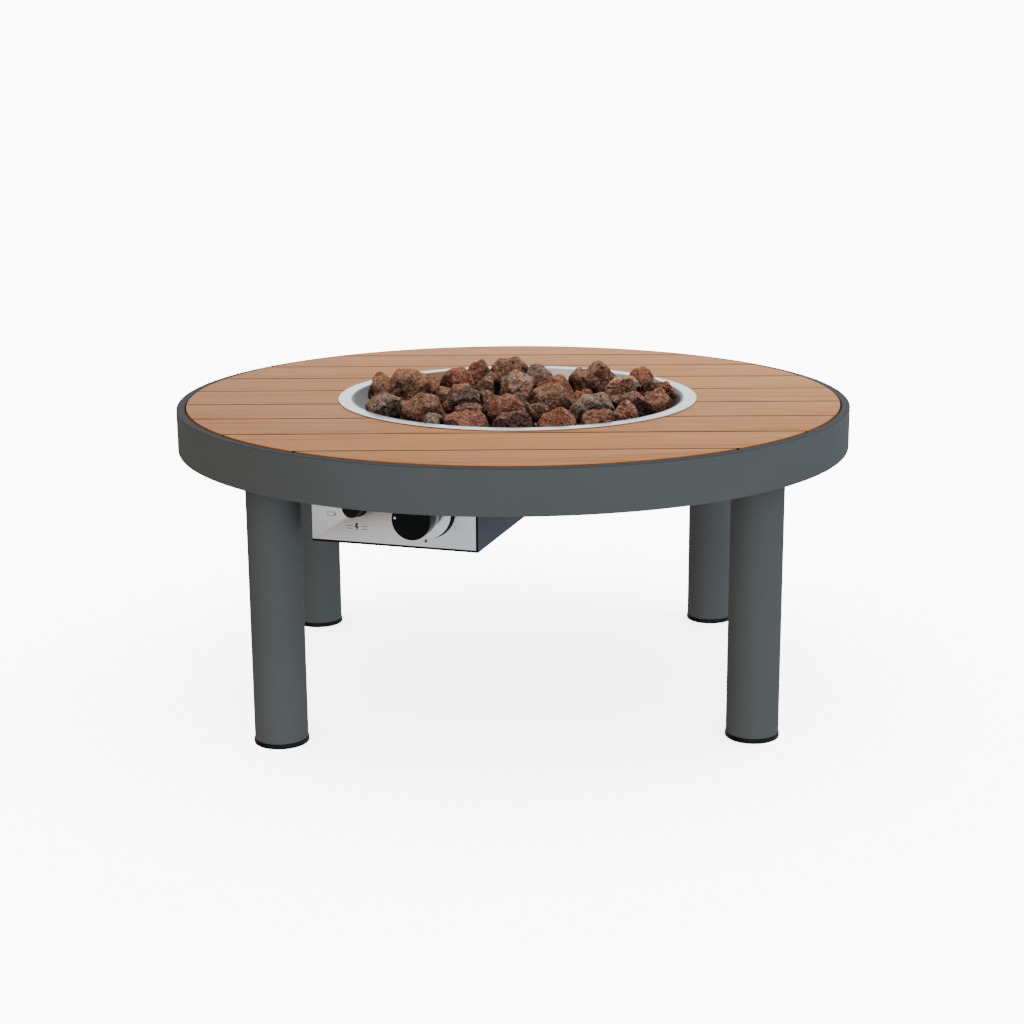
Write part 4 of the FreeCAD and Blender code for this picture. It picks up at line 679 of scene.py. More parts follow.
class Pattern(Graph):
    """A Geometry Nodes tree with named inputs, which is run once and gives a plain mesh."""

    def __init__(self, name, inputs):
        tree = bpy.data.node_groups.new(name, "GeometryNodeTree")
        super().__init__(tree)
        self.sockets = {}
        tree.interface.new_socket("Geometry", in_out="INPUT", socket_type="NodeSocketGeometry")
        tree.interface.new_socket("Geometry", in_out="OUTPUT", socket_type="NodeSocketGeometry")
        for key, kind in inputs.items():
            socket = tree.interface.new_socket(key, in_out="INPUT", socket_type="NodeSocket" + kind)
            self.sockets[key] = socket.identifier
        self.inside = tree.nodes.new("NodeGroupInput")

    def input(self, key):
        return Field(self, self.inside.outputs[key])

    def output(self, geometry, material):
        realized = self.node("GeometryNodeRealizeInstances", {}, {0: geometry})
        painted = self.node("GeometryNodeSetMaterial", {}, {"Geometry": realized, "Material": material})
        out = self.tree.nodes.new("NodeGroupOutput")
        self.tree.links.new(painted.socket, out.inputs[0])

    def run(self, name, base, values):
        """Runs the tree on an object and leaves one new object with a plain mesh."""
        modifier = base.modifiers.new("pattern", "NODES")
        modifier.node_group = self.tree
        for key, value in values.items():
            modifier[self.sockets[key]] = value
        mesh = evaluated_mesh(base)
        mesh.name = name
        base.modifiers.remove(modifier)
        return new_object(name, mesh)


def empty_base():
    return new_object("start", bpy.data.meshes.new("start"))


BEVEL_ANGLE = 38.0


def bevel(piece, width, steps=2):
    """Rounds a piece's sharp edges, and leaves a plain mesh."""
    edge = piece.modifiers.new("edges", "BEVEL")
    edge.width = width
    edge.segments = steps
    edge.limit_method = "ANGLE"
    edge.angle_limit = math.radians(BEVEL_ANGLE)
    edge.use_clamp_overlap = True
    mesh = evaluated_mesh(piece)
    piece.modifiers.clear()
    piece.data = mesh
    smooth(mesh)
    return piece


# %% Boards
BOARD_COUNT = 9
BOARD_WIDTH = 114.3 * MM
BOARD_EDGE = 1.3 * MM
ROUND_STEPS = 288
CUTTER_RADIUS = 1.2
CUTTER_DEPTH = 1.2
WASTE_DEPTH = 0.6
CUTTER_PLACE = (0.0, 0.0, 0.4)


def board_tree():
    sizes = {"Board Length": "Float", "Board Width": "Float", "Board Thickness": "Float", "Pitch": "Float",
             "Count": "Int", "Middle Height": "Float", "Deck Radius": "Float", "Hole Radius": "Float"}
    tree = Pattern("deck boards", sizes)
    vector = "ShaderNodeCombineXYZ"
    first = tree.input("Pitch") * (tree.input("Count") - 1) * -0.5
    start = tree.node(vector, {}, {1: first, 2: tree.input("Middle Height")})
    apart = tree.node(vector, {}, {1: tree.input("Pitch")})
    line = {"Count": tree.input("Count"), "Start Location": start, "Offset": apart}
    row = tree.node("GeometryNodeMeshLine", {}, line)
    size = tree.node(vector, {}, {0: tree.input("Board Length"), 1: tree.input("Board Width"),
                                  2: tree.input("Board Thickness")})
    blank = tree.node("GeometryNodeMeshCube", {}, {"Size": size})
    blanks = tree.node("GeometryNodeInstanceOnPoints", {}, {"Points": row, "Instance": blank})
    blanks = tree.node("GeometryNodeRealizeInstances", {}, {0: blanks})

    def disc(radius, depth):
        sizes = {"Vertices": ROUND_STEPS, "Radius": radius, "Depth": depth}
        block = tree.node("GeometryNodeMeshCylinder", {}, sizes)
        return tree.node("GeometryNodeTransform", {}, {"Geometry": block, "Translation": CUTTER_PLACE})

    def cut(solid, cutter):
        solver = {"operation": "DIFFERENCE", "solver": "EXACT"}
        return tree.node("GeometryNodeMeshBoolean", solver, {"Mesh 1": solid, "Mesh 2": cutter})

    holed = cut(blanks, disc(tree.input("Hole Radius"), CUTTER_DEPTH))
    waste = cut(disc(CUTTER_RADIUS, WASTE_DEPTH), disc(tree.input("Deck Radius"), CUTTER_DEPTH))
    tree.output(cut(holed, waste), teak_finish)
    return tree


base = empty_base()
deck = board_tree().run("deck_boards", base, {
    "Board Length": 2.2 * DECK_RADIUS,
    "Board Width": BOARD_WIDTH,
    "Board Thickness": deck_high.z - deck_low.z,
    "Pitch": BOARD_PITCH,
    "Count": BOARD_COUNT,
    "Middle Height": (deck_high.z + deck_low.z) / 2,
    "Deck Radius": DECK_RADIUS,
    "Hole Radius": HOLE_RADIUS,
})
bevel(deck, BOARD_EDGE, 3)
boards = ["slat_" + str(number) for number in range(1, BOARD_COUNT + 1)]
finish_piece(deck, "table", "deck_wood", teak_finish, *boards)

# %% [markdown]
# ## The band, the legs and the foot caps
#
# The band is a channel that was rolled to a ring, open towards the middle. A lathe outline with arcs
# at its outer edges gives its soft upper rim. Each leg is a plain painted tube, with a plastic cap
# whose lip shows as a thin black line at the floor.

# %% Band
WALL = 3.0 * MM
LIP = 13.0 * MM
band_low, band_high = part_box("rim_band")
band_radius = (band_high.x - band_low.x) / 2


def band_outline():
    top, bottom, outer = band_high.z, band_low.z, band_radius
    inner = outer - LIP
    wall = outer - WALL
    soft = 1.6 * MM
    return rounded([
        (outer, top, soft),
        (outer, bottom, soft),
        (inner, bottom, 0.4 * MM),
        (inner, bottom + WALL, 0.4 * MM),
        (wall, bottom + WALL, 1.0 * MM),
        (wall, top - WALL, 1.0 * MM),
        (inner, top - WALL, 0.4 * MM),
        (inner, top, 0.6 * MM),
    ])


band = lathe("band", band_outline(), 360)
finish_piece(band, "table", "table_paint", table_paint, "rim_band")

# %% Legs and caps
LEG_RADIUS = 39.8 * MM
LEG_WALL = 3.0 * MM
CAP_RADIUS = 41.0 * MM
CAP_HEIGHT = 7.5 * MM


def stand_at(node):
    low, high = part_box(node)
    return Vector(((low.x + high.x) / 2, (low.y + high.y) / 2, 0.0)), high.z


def leg_outline(top):
    return rounded([
        (LEG_RADIUS, CAP_HEIGHT, 0.5 * MM),
        (LEG_RADIUS, top),
        (LEG_RADIUS - LEG_WALL, top),
        (LEG_RADIUS - LEG_WALL, CAP_HEIGHT),
    ])


def cap_outline():
    plug = LEG_RADIUS - LEG_WALL - 0.2 * MM
    return rounded([
        (0.0, 0.0),
        (CAP_RADIUS - 9.0 * MM, 0.0, 0.8 * MM),
        (CAP_RADIUS - 8.2 * MM, 0.5 * MM, 0.4 * MM),
        (CAP_RADIUS - 5.8 * MM, 0.5 * MM, 0.4 * MM),
        (CAP_RADIUS - 5.0 * MM, 0.0, 0.8 * MM),
        (CAP_RADIUS, 0.0, 1.6 * MM),
        (CAP_RADIUS, CAP_HEIGHT, 1.0 * MM),
        (plug, CAP_HEIGHT),
        (plug, CAP_HEIGHT + 20.0 * MM),
        (plug - 3.0 * MM, CAP_HEIGHT + 20.0 * MM),
        (plug - 3.0 * MM, 4.0 * MM),
        (0.0, 4.0 * MM),
    ], closed=False)


for corner in ("front_left", "front_right", "rear_left", "rear_right"):
    foot, top = stand_at("leg_" + corner)
    place = Matrix.Translation(foot)
    leg = lathe("leg_tube_" + corner, leg_outline(top), 144, place)
    finish_piece(leg, "table", "table_paint", table_paint, "leg_" + corner)
    cap = lathe("foot_" + corner, cap_outline(), 96, place)
    finish_piece(cap, "table", "black_plastic", black_plastic, "foot_caps")

# %% [markdown]
# ## The bowl
#
# The bowl is pressed from one sheet: a flat floor, a wall that sweeps up in an arc, a tight bend, and
# a flange that lies on the boards. The outline follows the sheet's upper face out and its lower face
# back, a sheet's thickness below. The real bowl's small rain holes are left out; only the middle hole is
# made.

# %% Bowl
SHEET = 1.5 * MM
FLANGE_OUTER = 286.7 * MM
FLANGE_INNER = 264.7 * MM
BEND = 4.0 * MM
RIM_SLOPE = math.radians(45.0)
HUB_HOLE = 10.3 * MM
bowl_floor = bowl_low.z + SHEET
rim_top = bowl_high.z


def bowl_sizes():
    """The radius of the wall's arc, and the radius of the flat floor."""
    height = rim_top - BEND * (1 - math.cos(RIM_SLOPE))
    radius = FLANGE_INNER - BEND * math.sin(RIM_SLOPE)
    arc = (height - bowl_floor) / (1 - math.cos(RIM_SLOPE))
    return arc, radius - arc * math.sin(RIM_SLOPE)


wall_arc, flat_radius = bowl_sizes()


def bowl_face(offset, steps=40):
    """One face of the sheet from the hub to the bend: the upper one, or lower by an offset."""
    points = [(HUB_HOLE, bowl_floor - offset), (flat_radius * 0.6, bowl_floor - offset)]
    arc = wall_arc + offset
    for step in range(steps + 1):
        angle = RIM_SLOPE * step / steps
        points.append((flat_radius + arc * math.sin(angle), bowl_floor + wall_arc - arc * math.cos(angle)))
    bend = BEND - offset
    for step in range(1, 9):
        angle = RIM_SLOPE * (1 - step / 8)
        points.append((FLANGE_INNER - bend * math.sin(angle), rim_top - BEND + bend * math.cos(angle)))
    return points


def bowl_outline():
    edge = SHEET / 2 * 0.98
    rim = [(FLANGE_OUTER - edge + edge * math.sin(a), rim_top - SHEET / 2 + edge * math.cos(a))
           for a in (math.pi * step / 8 for step in range(9))]
    return bowl_face(0.0) + rim + list(reversed(bowl_face(SHEET)))


bowl = lathe("bowl", bowl_outline(), 288, Matrix.Translation(bowl_middle))
finish_piece(bowl, "table", "stainless_sheet", fire_bowl_steel, "fire_bowl")

# %% [markdown]
# ## Lava stones
#
# Lava stone is frozen foam: lumpy, full of burst bubbles, and never two alike. Each stone starts from
# the plain lump that the frame puts there. Geometry Nodes split its faces, blur its corners away, and
# push the skin in and out: broad scoops and lumps first, then a rough crust with small burst bubbles.
# The tree also writes where the bubbles and ridges are, and the finish paints shade into the bubbles and
# highlights onto the ridges.

# %% Stones taken apart
# The node's first lumps lie hidden under the shown ones.
STONE_HIDDEN = 26


def loose_lumps(node):
    """The separate lumps of a node, each as its corners and faces."""
    work = bmesh.new()
    work.from_mesh(frame["nodes"][node].data)
    bmesh.ops.remove_doubles(work, verts=work.verts, dist=0.00002)
    work.verts.ensure_lookup_table()
    seen = set()
    lumps = []
    for vert in work.verts:
        if vert.index in seen:
            continue
        island = []
        waiting = [vert]
        seen.add(vert.index)
        while waiting:
            here = waiting.pop()
            island.append(here)
            for edge in here.link_edges:
                there = edge.other_vert(here)
                if there.index not in seen:
                    seen.add(there.index)
                    waiting.append(there)
        names = {corner.index: number for number, corner in enumerate(island)}
        faces = {face for corner in island for face in corner.link_faces}
        corners = [tuple(corner.co) for corner in island]
        lumps.append((corners, [[names[corner.index] for corner in face.verts] for face in faces]))
    work.free()
    return lumps


lumps = loose_lumps("lava_rocks")
print("stones", len(lumps))

# %% Stone tree
def stone_tree(finish):
    sizes = {"Seed": "Float", "Level": "Int", "Growth": "Float", "Scoop": "Float", "Lump": "Float",
             "Crust": "Float", "Bubble": "Float", "Valley": "Vector", "Valley Depth": "Float",
             "Valley Width": "Float"}
    tree = Pattern("lava stone", sizes)
    source = Field(tree, tree.inside.outputs[0])
    fine = tree.node("GeometryNodeSubdivideMesh", {}, {"Mesh": source, "Level": tree.input("Level")})
    place = tree.node("GeometryNodeInputPosition", {}, {})
    soft = tree.node("GeometryNodeBlurAttribute", {"data_type": "FLOAT_VECTOR"},
                     {"Value": place, "Iterations": 3, "Weight": 1.0})
    shape = tree.node("GeometryNodeSetPosition", {}, {"Geometry": fine, "Position": soft})
    seed = tree.input("Seed")
    offset = tree.node("ShaderNodeCombineXYZ", {}, {0: seed, 1: seed * 0.37, 2: 0.0})
    where = tree.node("ShaderNodeVectorMath", {"operation": "ADD"}, {0: place, 1: offset})
    normal = tree.node("GeometryNodeInputNormal", {}, {})

    def noise(scale, detail, rough=0.55):
        values = {"Vector": where, "Scale": scale, "Detail": detail, "Roughness": rough}
        return tree.node("ShaderNodeTexNoise", {}, values, 0)

    def cells(scale):
        return tree.node("ShaderNodeTexVoronoi", {}, {"Vector": where, "Scale": scale}, 0)

    def pushed(geometry, height):
        push = tree.node("ShaderNodeVectorMath", {"operation": "SCALE"}, {0: normal, 3: height})
        return tree.node("GeometryNodeSetPosition", {}, {"Geometry": geometry, "Offset": push})

    # Broken bubbles leave hollows that meet in sharp ridges: the distance from scattered centres.
    scoops = (cells(27.0) - 0.42) * tree.input("Scoop") + (cells(62.0) - 0.42) * tree.input("Scoop") * 0.4
    lumps = (noise(30.0, 2.0) - 0.5) * tree.input("Lump")
    shape = pushed(shape, scoops + lumps + tree.input("Growth"))

    # A valley between two peaks sinks the crown along a line that runs away from the camera.
    across = tree.node("ShaderNodeVectorMath", {"operation": "SUBTRACT"}, {0: place, 1: tree.input("Valley")})
    across = tree.node("ShaderNodeVectorMath", {"operation": "MULTIPLY"}, {0: across, 1: (1.0, 0.25, 0.0)})
    reach = tree.node("ShaderNodeVectorMath", {"operation": "LENGTH"}, {0: across}, 1)
    sink = (1 - (reach / tree.input("Valley Width")).between(0.0, 1.0)) * tree.input("Valley Depth")
    down = tree.node("ShaderNodeCombineXYZ", {}, {2: sink * -1.0})
    shape = tree.node("GeometryNodeSetPosition", {}, {"Geometry": shape, "Offset": down})

    def noted(geometry, name, value, kind):
        """Keeps a value on every point under a name."""
        values = {"Geometry": geometry, "Name": name, "Value": value}
        settings = {"data_type": kind, "domain": "POINT"}
        return tree.node("GeometryNodeStoreNamedAttribute", settings, values)

    shape = noted(shape, "core", place, "FLOAT_VECTOR")

    # The crust is rough at every size, and small bubbles have burst in it.
    crust = noise(130.0, 6.0, 0.72)
    large = 1 - cells(150.0).between(0.1, 0.3)
    small = 1 - cells(330.0).between(0.1, 0.36)
    burst = (large + small * 0.5) * noise(70.0, 1.0).between(0.4, 0.62)
    shape = pushed(shape, (crust - 0.5) * tree.input("Crust") - burst * tree.input("Bubble"))
    ridge = cells(62.0) + cells(27.0) * 0.6 + crust - 0.8
    shape = noted(shape, "pit", burst, "FLOAT")
    shape = noted(shape, "ridge", ridge, "FLOAT")
    tree.output(shape, finish)
    return tree


# %% [markdown]
# The colour of lava stone goes from brick red to nearly black, as its iron rusted more or less. One
# stone is rarely one colour: a crust of another tone sits on it in patches. So each stone carries its
# own tone as an attribute, and the finish mixes in crust, painted shade in bubbles and gaps, painted
# highlights on ridges, and painted light on top faces.

# %% Stone finish
TWIST = 6.0 * MM  # how far the rims of bubbles wander


def lava_finish():
    stone = Finish("lava stone")
    own = stone.node("ShaderNodeAttribute", {"attribute_name": "tone"}, {}, "Color")
    crust = stone.node("ShaderNodeAttribute", {"attribute_name": "crust"}, {}, "Color")
    pit = stone.node("ShaderNodeAttribute", {"attribute_name": "pit"}, {}, "Fac")
    ridge = stone.node("ShaderNodeAttribute", {"attribute_name": "ridge"}, {}, "Fac")
    patch = stone.noise(38.0, 4.0, 0.62)
    gap_shade = stone.node("ShaderNodeAttribute", {"attribute_name": "gap_shade"}, {}, "Fac")
    mottle = stone.noise(190.0, 5.0, 0.78)
    twist = stone.node("ShaderNodeTexNoise", {}, {"Vector": stone.at, "Scale": 260.0, "Detail": 2.0}, "Color")
    moved = {0: twist, 1: (TWIST, TWIST, TWIST), 2: stone.at}
    bent = stone.node("ShaderNodeVectorMath", {"operation": "MULTIPLY_ADD"}, moved)
    hole = 1 - stone.cells(215.0, bent).between(0.16, 0.36)
    grit = stone.noise(620.0, 3.0, 0.75)
    pore = 1 - stone.cells(430.0, bent).between(0.2, 0.42)
    cover = (patch + 0.3 * ridge).between(0.66, 0.78)
    base = stone.mix(cover, own, crust)
    # Painted shade and painted highlight: fine specks are darkened nearly to black and others lightened to
    # pale tan.
    base = stone.mix(mottle.between(0.5, 0.6) * 0.8, base, tone(34, 22, 18))
    base = stone.mix((1 - mottle.between(0.38, 0.46)) * 0.72, base, tone(244, 192, 152))
    # Painted highlight on the ridges and painted shade in the hollows between them.
    base = stone.mix(ridge.between(0.35, 0.8) * 0.3, base, tone(200, 146, 110))
    base = stone.mix((1 - ridge.between(-0.1, 0.3)) * 0.5, base, tone(34, 24, 22))
    # Painted shade: burst bubbles, holes and pores are darkened nearly to black, as the shade inside them.
    base = stone.mix(pit.between(0.2, 0.7) * 0.85, base, tone(18, 11, 9))
    base = stone.mix(hole * patch.between(0.35, 0.5) * 0.9, base, tone(16, 9, 8))
    base = stone.mix(pore * grit.between(0.4, 0.55) * 0.75, base, tone(24, 15, 13))
    normal = stone.node("ShaderNodeNewGeometry", {}, {}, "Normal")
    upward = stone.axes(normal)[2].between(-0.35, 0.85)
    # Painted light and shade: faces that look down or sideways are darkened, and faces that look up are
    # lightened.
    base = stone.mix((1 - upward) * 0.6, base, tone(30, 20, 18))
    base = stone.mix(upward * mottle.between(0.35, 0.6) * 0.15, base, tone(230, 182, 146))
    # Painted shade: where another stone is close, the skin is darkened nearly to black.
    base = stone.mix(gap_shade.between(0.3, 0.62) * 0.94, base, tone(10, 6, 5))
    relief = grit * 0.7 + mottle * 1.1 - pore * 0.8 - hole * 1.3
    stone.set(Base_Color=base, Roughness=0.88, Specular_IOR_Level=0.2, Normal=stone.bump(relief, 0.003))
    return stone.material


lava = lava_finish()
finishes["lava_stone"] = lava

TONES = {
    "brown": tone(154, 110, 88),
    "umber": tone(122, 86, 70),
    "rust": tone(162, 96, 72),
    "red": tone(166, 80, 62),
    "brick": tone(186, 98, 70),
    "rose": tone(164, 96, 82),
    "plum": tone(128, 90, 84),
    "grey": tone(146, 132, 124),
    "ash": tone(182, 162, 146),
    "tan": tone(190, 142, 110),
    "sand": tone(240, 202, 160),
    "orange": tone(200, 130, 84),
    "coal": tone(74, 68, 68),
}
SHOWN_TONES = [
    ("grey", "ash"), ("rose", "red"), ("plum", "coal"), ("brick", "rust"), ("rose", "plum"),
    ("rose", "ash"), ("ash", "umber"), ("plum", "brown"), ("brown", "umber"), ("umber", "orange"),
    ("rose", "plum"), ("grey", "ash"), ("plum", "rose"), ("rust", "umber"), ("red", "rust"),
    ("brown", "umber"), ("coal", "grey"), ("brown", "plum"), ("brick", "red"), ("coal", "orange"),
    ("brown", "orange"), ("rust", "plum"), ("brown", "grey"), ("rust", "brick"), ("umber", "coal"),
    ("ash", "orange"), ("red", "rust"), ("grey", "plum"), ("sand", "orange"), ("brown", "umber"),
    ("brown", "tan"), ("rust", "umber"), ("umber", "orange"), ("red", "brick"), ("coal", "grey"),
]
HIDDEN_TONES = [("umber", "brown"), ("plum", "grey"), ("rust", "umber"), ("grey", "coal"), ("brown", "rust")]


# %% Stones
def lump_object(lump, name):
    corners, faces = lump
    mesh = bpy.data.meshes.new(name)
    mesh.from_pydata(corners, [], faces)
    return new_object(name, mesh)


GAP_REACH = 14.0 * MM
GAP_DEPTH = 6.0 * MM
CHIPS = 9
CHIP_SEED = 5
CHIP_RISE = (-15.0, 50.0)
CHIP_REACH = (0.76, 0.94)
STONES_IN_PIECE = 9


def chip(mesh, index):
    """Cuts flat faces round a stone's sides, and keeps the roughness of its crust on them."""
    chance = np.random.default_rng(CHIP_SEED + index)
    count = len(mesh.vertices)
    core = np.zeros(3 * count, dtype=np.float32)
    mesh.attributes["core"].data.foreach_get("vector", core)
    core = core.reshape(count, 3)
    places = np.zeros(3 * count, dtype=np.float32)
    mesh.vertices.foreach_get("co", places)
    places = places.reshape(count, 3)
    middle = (core.min(axis=0) + core.max(axis=0)) / 2
    for number in range(CHIPS):
        around = 2 * math.pi * (number + chance.uniform(-0.4, 0.4)) / CHIPS * 2
        rise = math.radians(chance.uniform(*CHIP_RISE))
        level = math.cos(rise)
        way = np.array([math.cos(around) * level, math.sin(around) * level, math.sin(rise)])
        reach = (core - middle) @ way
        over = np.maximum(reach - reach.max() * chance.uniform(*CHIP_REACH), 0.0)
        core = core - over[:, None] * way
        places = places - over[:, None] * way
    mesh.vertices.foreach_set("co", places.astype(np.float32).ravel())
    mesh.update()


def others_tree(index):
    """A search tree over the faces of all lumps but one."""
    corners, faces = [], []
    for number, (places, sides) in enumerate(lumps):
        if number != index:
            faces += [[len(corners) + corner for corner in side] for side in sides]
            corners += places
    return BVHTree.FromPolygons(corners, faces)


def open_gap(mesh, index):
    """Sinks a stone's skin where another stone is close, and writes how close it is."""
    tree = others_tree(index)
    close = np.zeros(len(mesh.vertices), dtype=np.float32)
    for vert in mesh.vertices:
        distance = tree.find_nearest(vert.co, GAP_REACH)[3]
        if distance is not None:
            close[vert.index] = 1 - distance / GAP_REACH
    normals = np.array([vert.normal for vert in mesh.vertices])
    places = np.array([vert.co for vert in mesh.vertices])
    mesh.vertices.foreach_set("co", (places - normals * close[:, None] ** 2 * GAP_DEPTH).ravel())
    # The closeness is kept for the finish, which paints shade with it.
    mesh.attributes.new("gap_shade", "FLOAT", "POINT").data.foreach_set("value", close)


def paint_stone(mesh, pair):
    """Writes a stone's own tone and its crust's tone on all its points."""
    for key, name in zip(("tone", "crust"), pair):
        attribute = mesh.attributes.new(key, "FLOAT_COLOR", "POINT")
        attribute.data.foreach_set("color", np.tile(TONES[name], len(mesh.vertices)).astype(np.float32))


def joined(name, pieces):
    """Joins objects into the first one, under a new name."""
    with bpy.context.temp_override(active_object=pieces[0], selected_editable_objects=pieces):
        bpy.ops.object.join()
    pieces[0].name = name
    pieces[0].data.name = name
    return pieces[0]


# Three stones have two peaks. For each: where the valley between them lies, and its depth and width,
# in millimetres.
VALLEYS = {
    46: ((-199.0, -28.0, 0.0), 14.0, 15.0),
    56: ((117.0, 92.0, 0.0), 13.0, 16.0),
    43: ((46.0, -88.0, 0.0), 8.0, 18.0),
}


def make_stones():
    tree = stone_tree(lava)
    groups = {}
    for index, lump in enumerate(lumps):
        shown = index >= STONE_HIDDEN
        start = lump_object(lump, "lump")
        place, depth, width = VALLEYS.get(index, ((0.0, 0.0, 0.0), 0.0, 1.0))
        stone = tree.run("stone", start, {
            "Seed": 3.1 * index,
            "Level": 4 if shown else 3,
            "Growth": (2.4 if shown else 6.0) * MM,
            "Scoop": 15.0 * MM,
            "Lump": 9.0 * MM,
            "Crust": 7.5 * MM,
            "Bubble": 3.0 * MM,
            "Valley": tuple(Vector(place) * MM),
            "Valley Depth": depth * MM,
            "Valley Width": width * MM,
        })
        pairs = SHOWN_TONES if shown else HIDDEN_TONES
        number = index - STONE_HIDDEN if shown else index
        paint_stone(stone.data, pairs[number % len(pairs)])
        if index not in VALLEYS:
            chip(stone.data, index)
        open_gap(stone.data, index)
        bpy.data.objects.remove(start)
        groups.setdefault(index // STONES_IN_PIECE, []).append(stone)
    for number, stones in groups.items():
        piece = joined("lava_stones_" + str(number + 1), stones)
        smooth(piece.data, 60.0)
        finish_piece(piece, "table", "lava_stone", lava, "lava_rocks")


make_stones()

# %% [markdown]
# ## The control box
#
# The box is folded sheet, so its edges have the small radius of the fold. The frame's own solids have
# every hole in the right place. A copy of each is merged, its flat faces are joined up again, and a
# narrow bevel softens the edges: quicker than modelling it twice, and it can't be out of place. The
# beams, the burner and the fittings are done in the same way, and a width of 0 means no bevel.

# %% Softened copies of the frame's solids
def softened(node, name, width):
    """A merged copy of a node, with its edges rounded where a width is given."""
    mesh = frame["nodes"][node].data.copy()
    mesh.name = name
    work = bmesh.new()
    work.from_mesh(mesh)
    bmesh.ops.remove_doubles(work, verts=work.verts, dist=0.00001)
    bmesh.ops.dissolve_limit(work, angle_limit=math.radians(0.6), verts=work.verts, edges=work.edges)
    work.to_mesh(mesh)
    work.free()
    piece = new_object(name, mesh)
    if width > 0:
        bevel(piece, width)
    else:
        smooth(piece.data)
    return piece


BOX_TURN = math.radians(-18.0)
PANEL_FACE = -425.4 * MM
CONTROL_HEIGHT = 380.0 * MM
IGNITER_PLACE = -105.7 * MM
box_frame = Matrix.Translation(bowl_middle) @ Matrix.Rotation(BOX_TURN, 4, "Z")


def on_panel(x, z):
    """A place on the panel, with Z pointing out of it and X to the right."""
    return box_frame @ Matrix.Translation((x, PANEL_FACE, z)) @ Matrix.Rotation(math.pi / 2, 4, "X")


panel_steel = ground_metal("brushed panel steel", tone(238, 237, 238), 0.36, (12.0, 900.0, 900.0),
                           on_panel(0.0, CONTROL_HEIGHT))
box_slots = {
    "box_shell": ("table_paint", box_paint, 0.7),
    "box_lid": ("table_paint", box_paint, 0.3),
    "front_panel": ("stainless_sheet", panel_steel, 0.3),
    "box_hangers": ("fastener_steel", zinc, 0.5),
    "ignition_bracket": ("stainless_sheet", bowl_steel, 0.3),
    "main_beams": ("frame_aluminium", frame_aluminium, 0.8),
    "outer_beams": ("frame_aluminium", frame_aluminium, 0.8),
    "cross_beams": ("frame_aluminium", frame_aluminium, 0.8),
    "slat_battens": ("frame_aluminium", frame_aluminium, 0.5),
    "leg_pads": ("frame_aluminium", frame_aluminium, 0.5),
    "leg_flanges": ("table_paint", table_paint, 0.8),
    "burner_lock_nut": ("fastener_steel", zinc, 0.5),
    "burner_ring": ("stainless_sheet", bowl_steel, 0.0),
    "burner_elbow": ("gas_brass", brass, 0.0),
    "air_mixer": ("gas_brass", brass, 0.0),
    "gas_orifice": ("gas_brass", brass, 0.4),
    "tube_nuts": ("gas_brass", brass, 0.4),
    "inlet_fitting": ("gas_brass", brass, 0.4),
    "inlet_tube": ("frame_aluminium", frame_aluminium, 0.0),
    "burner_tube": ("frame_aluminium", frame_aluminium, 0.0),
    "valve_body": ("cast_aluminium", cast_metal, 0.0),
    "cable_grommets": ("lead_rubber", black_rubber, 0.0),
}
for node, (slot, material, width) in box_slots.items():
    piece = softened(node, node + "_soft", width * MM)
    finish_piece(piece, "table", slot, material, node)

# %% [markdown]
# ## Springs
#
# Two small springs push the knob and the button back. Each stands against a fixed part behind it, and
# its front end goes in with the part that is pushed, so the coil closes up. Here each is a smoothed
# copy of the coil at its rest length, and only its length along the push is measured.

# %% Springs
PUSH_WAY = box_frame.to_3x3() @ Vector((0.0, 1.0, 0.0))
KNOB_TRAVEL = 3.0 * MM
BUTTON_TRAVEL = 3.5 * MM


def closing_spring(node, travel):
    """A smoothed copy of a spring at its rest length. The travel is not used to shorten it."""
    piece = softened(node, node + "_soft", 0.0)
    finish_piece(piece, "table", "spring_steel", spring_steel, node)
    along = [PUSH_WAY.dot(vert.co) for vert in piece.data.vertices]
    length = max(along) - min(along)
    PUSH_WAY * max(along)
    (length - travel) / length
    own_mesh(piece)
    print(node, "length mm", round(length / MM, 2))


closing_spring("return_spring", KNOB_TRAVEL)
closing_spring("igniter_spring", BUTTON_TRAVEL)

# %% [markdown]
# ## Screws and bolts
#
# Sixty-eight fasteners are three shapes set again and again, which is work for Geometry Nodes: one
# screw is modelled once and stood on many points. Each screw of the frame tells its own place. It is
# longest along its axis, and its head is where it is widest, so both are measured from its corners.

# %% Screws and bolts
def fastener_axes(node, head_height):
    """The seat and the way to the tip of each fastener of a node."""
    seats, ways = [], []
    for corners, _ in loose_lumps(node):
        points = np.array(corners)
        middle = points.mean(axis=0)
        way = np.linalg.eigh(np.cov((points - middle).T))[1][:, 2]
        along = (points - middle) @ way
        aside = np.linalg.norm(points - middle - along[:, None] * way, axis=1)
        centre = (along.min() + along.max()) / 2
        if aside[along > centre].mean() > aside[along < centre].mean():
            way, along = -way, -along
        seats.append(middle + way * (along.min() + head_height))
        ways.append(way)
    return seats, ways


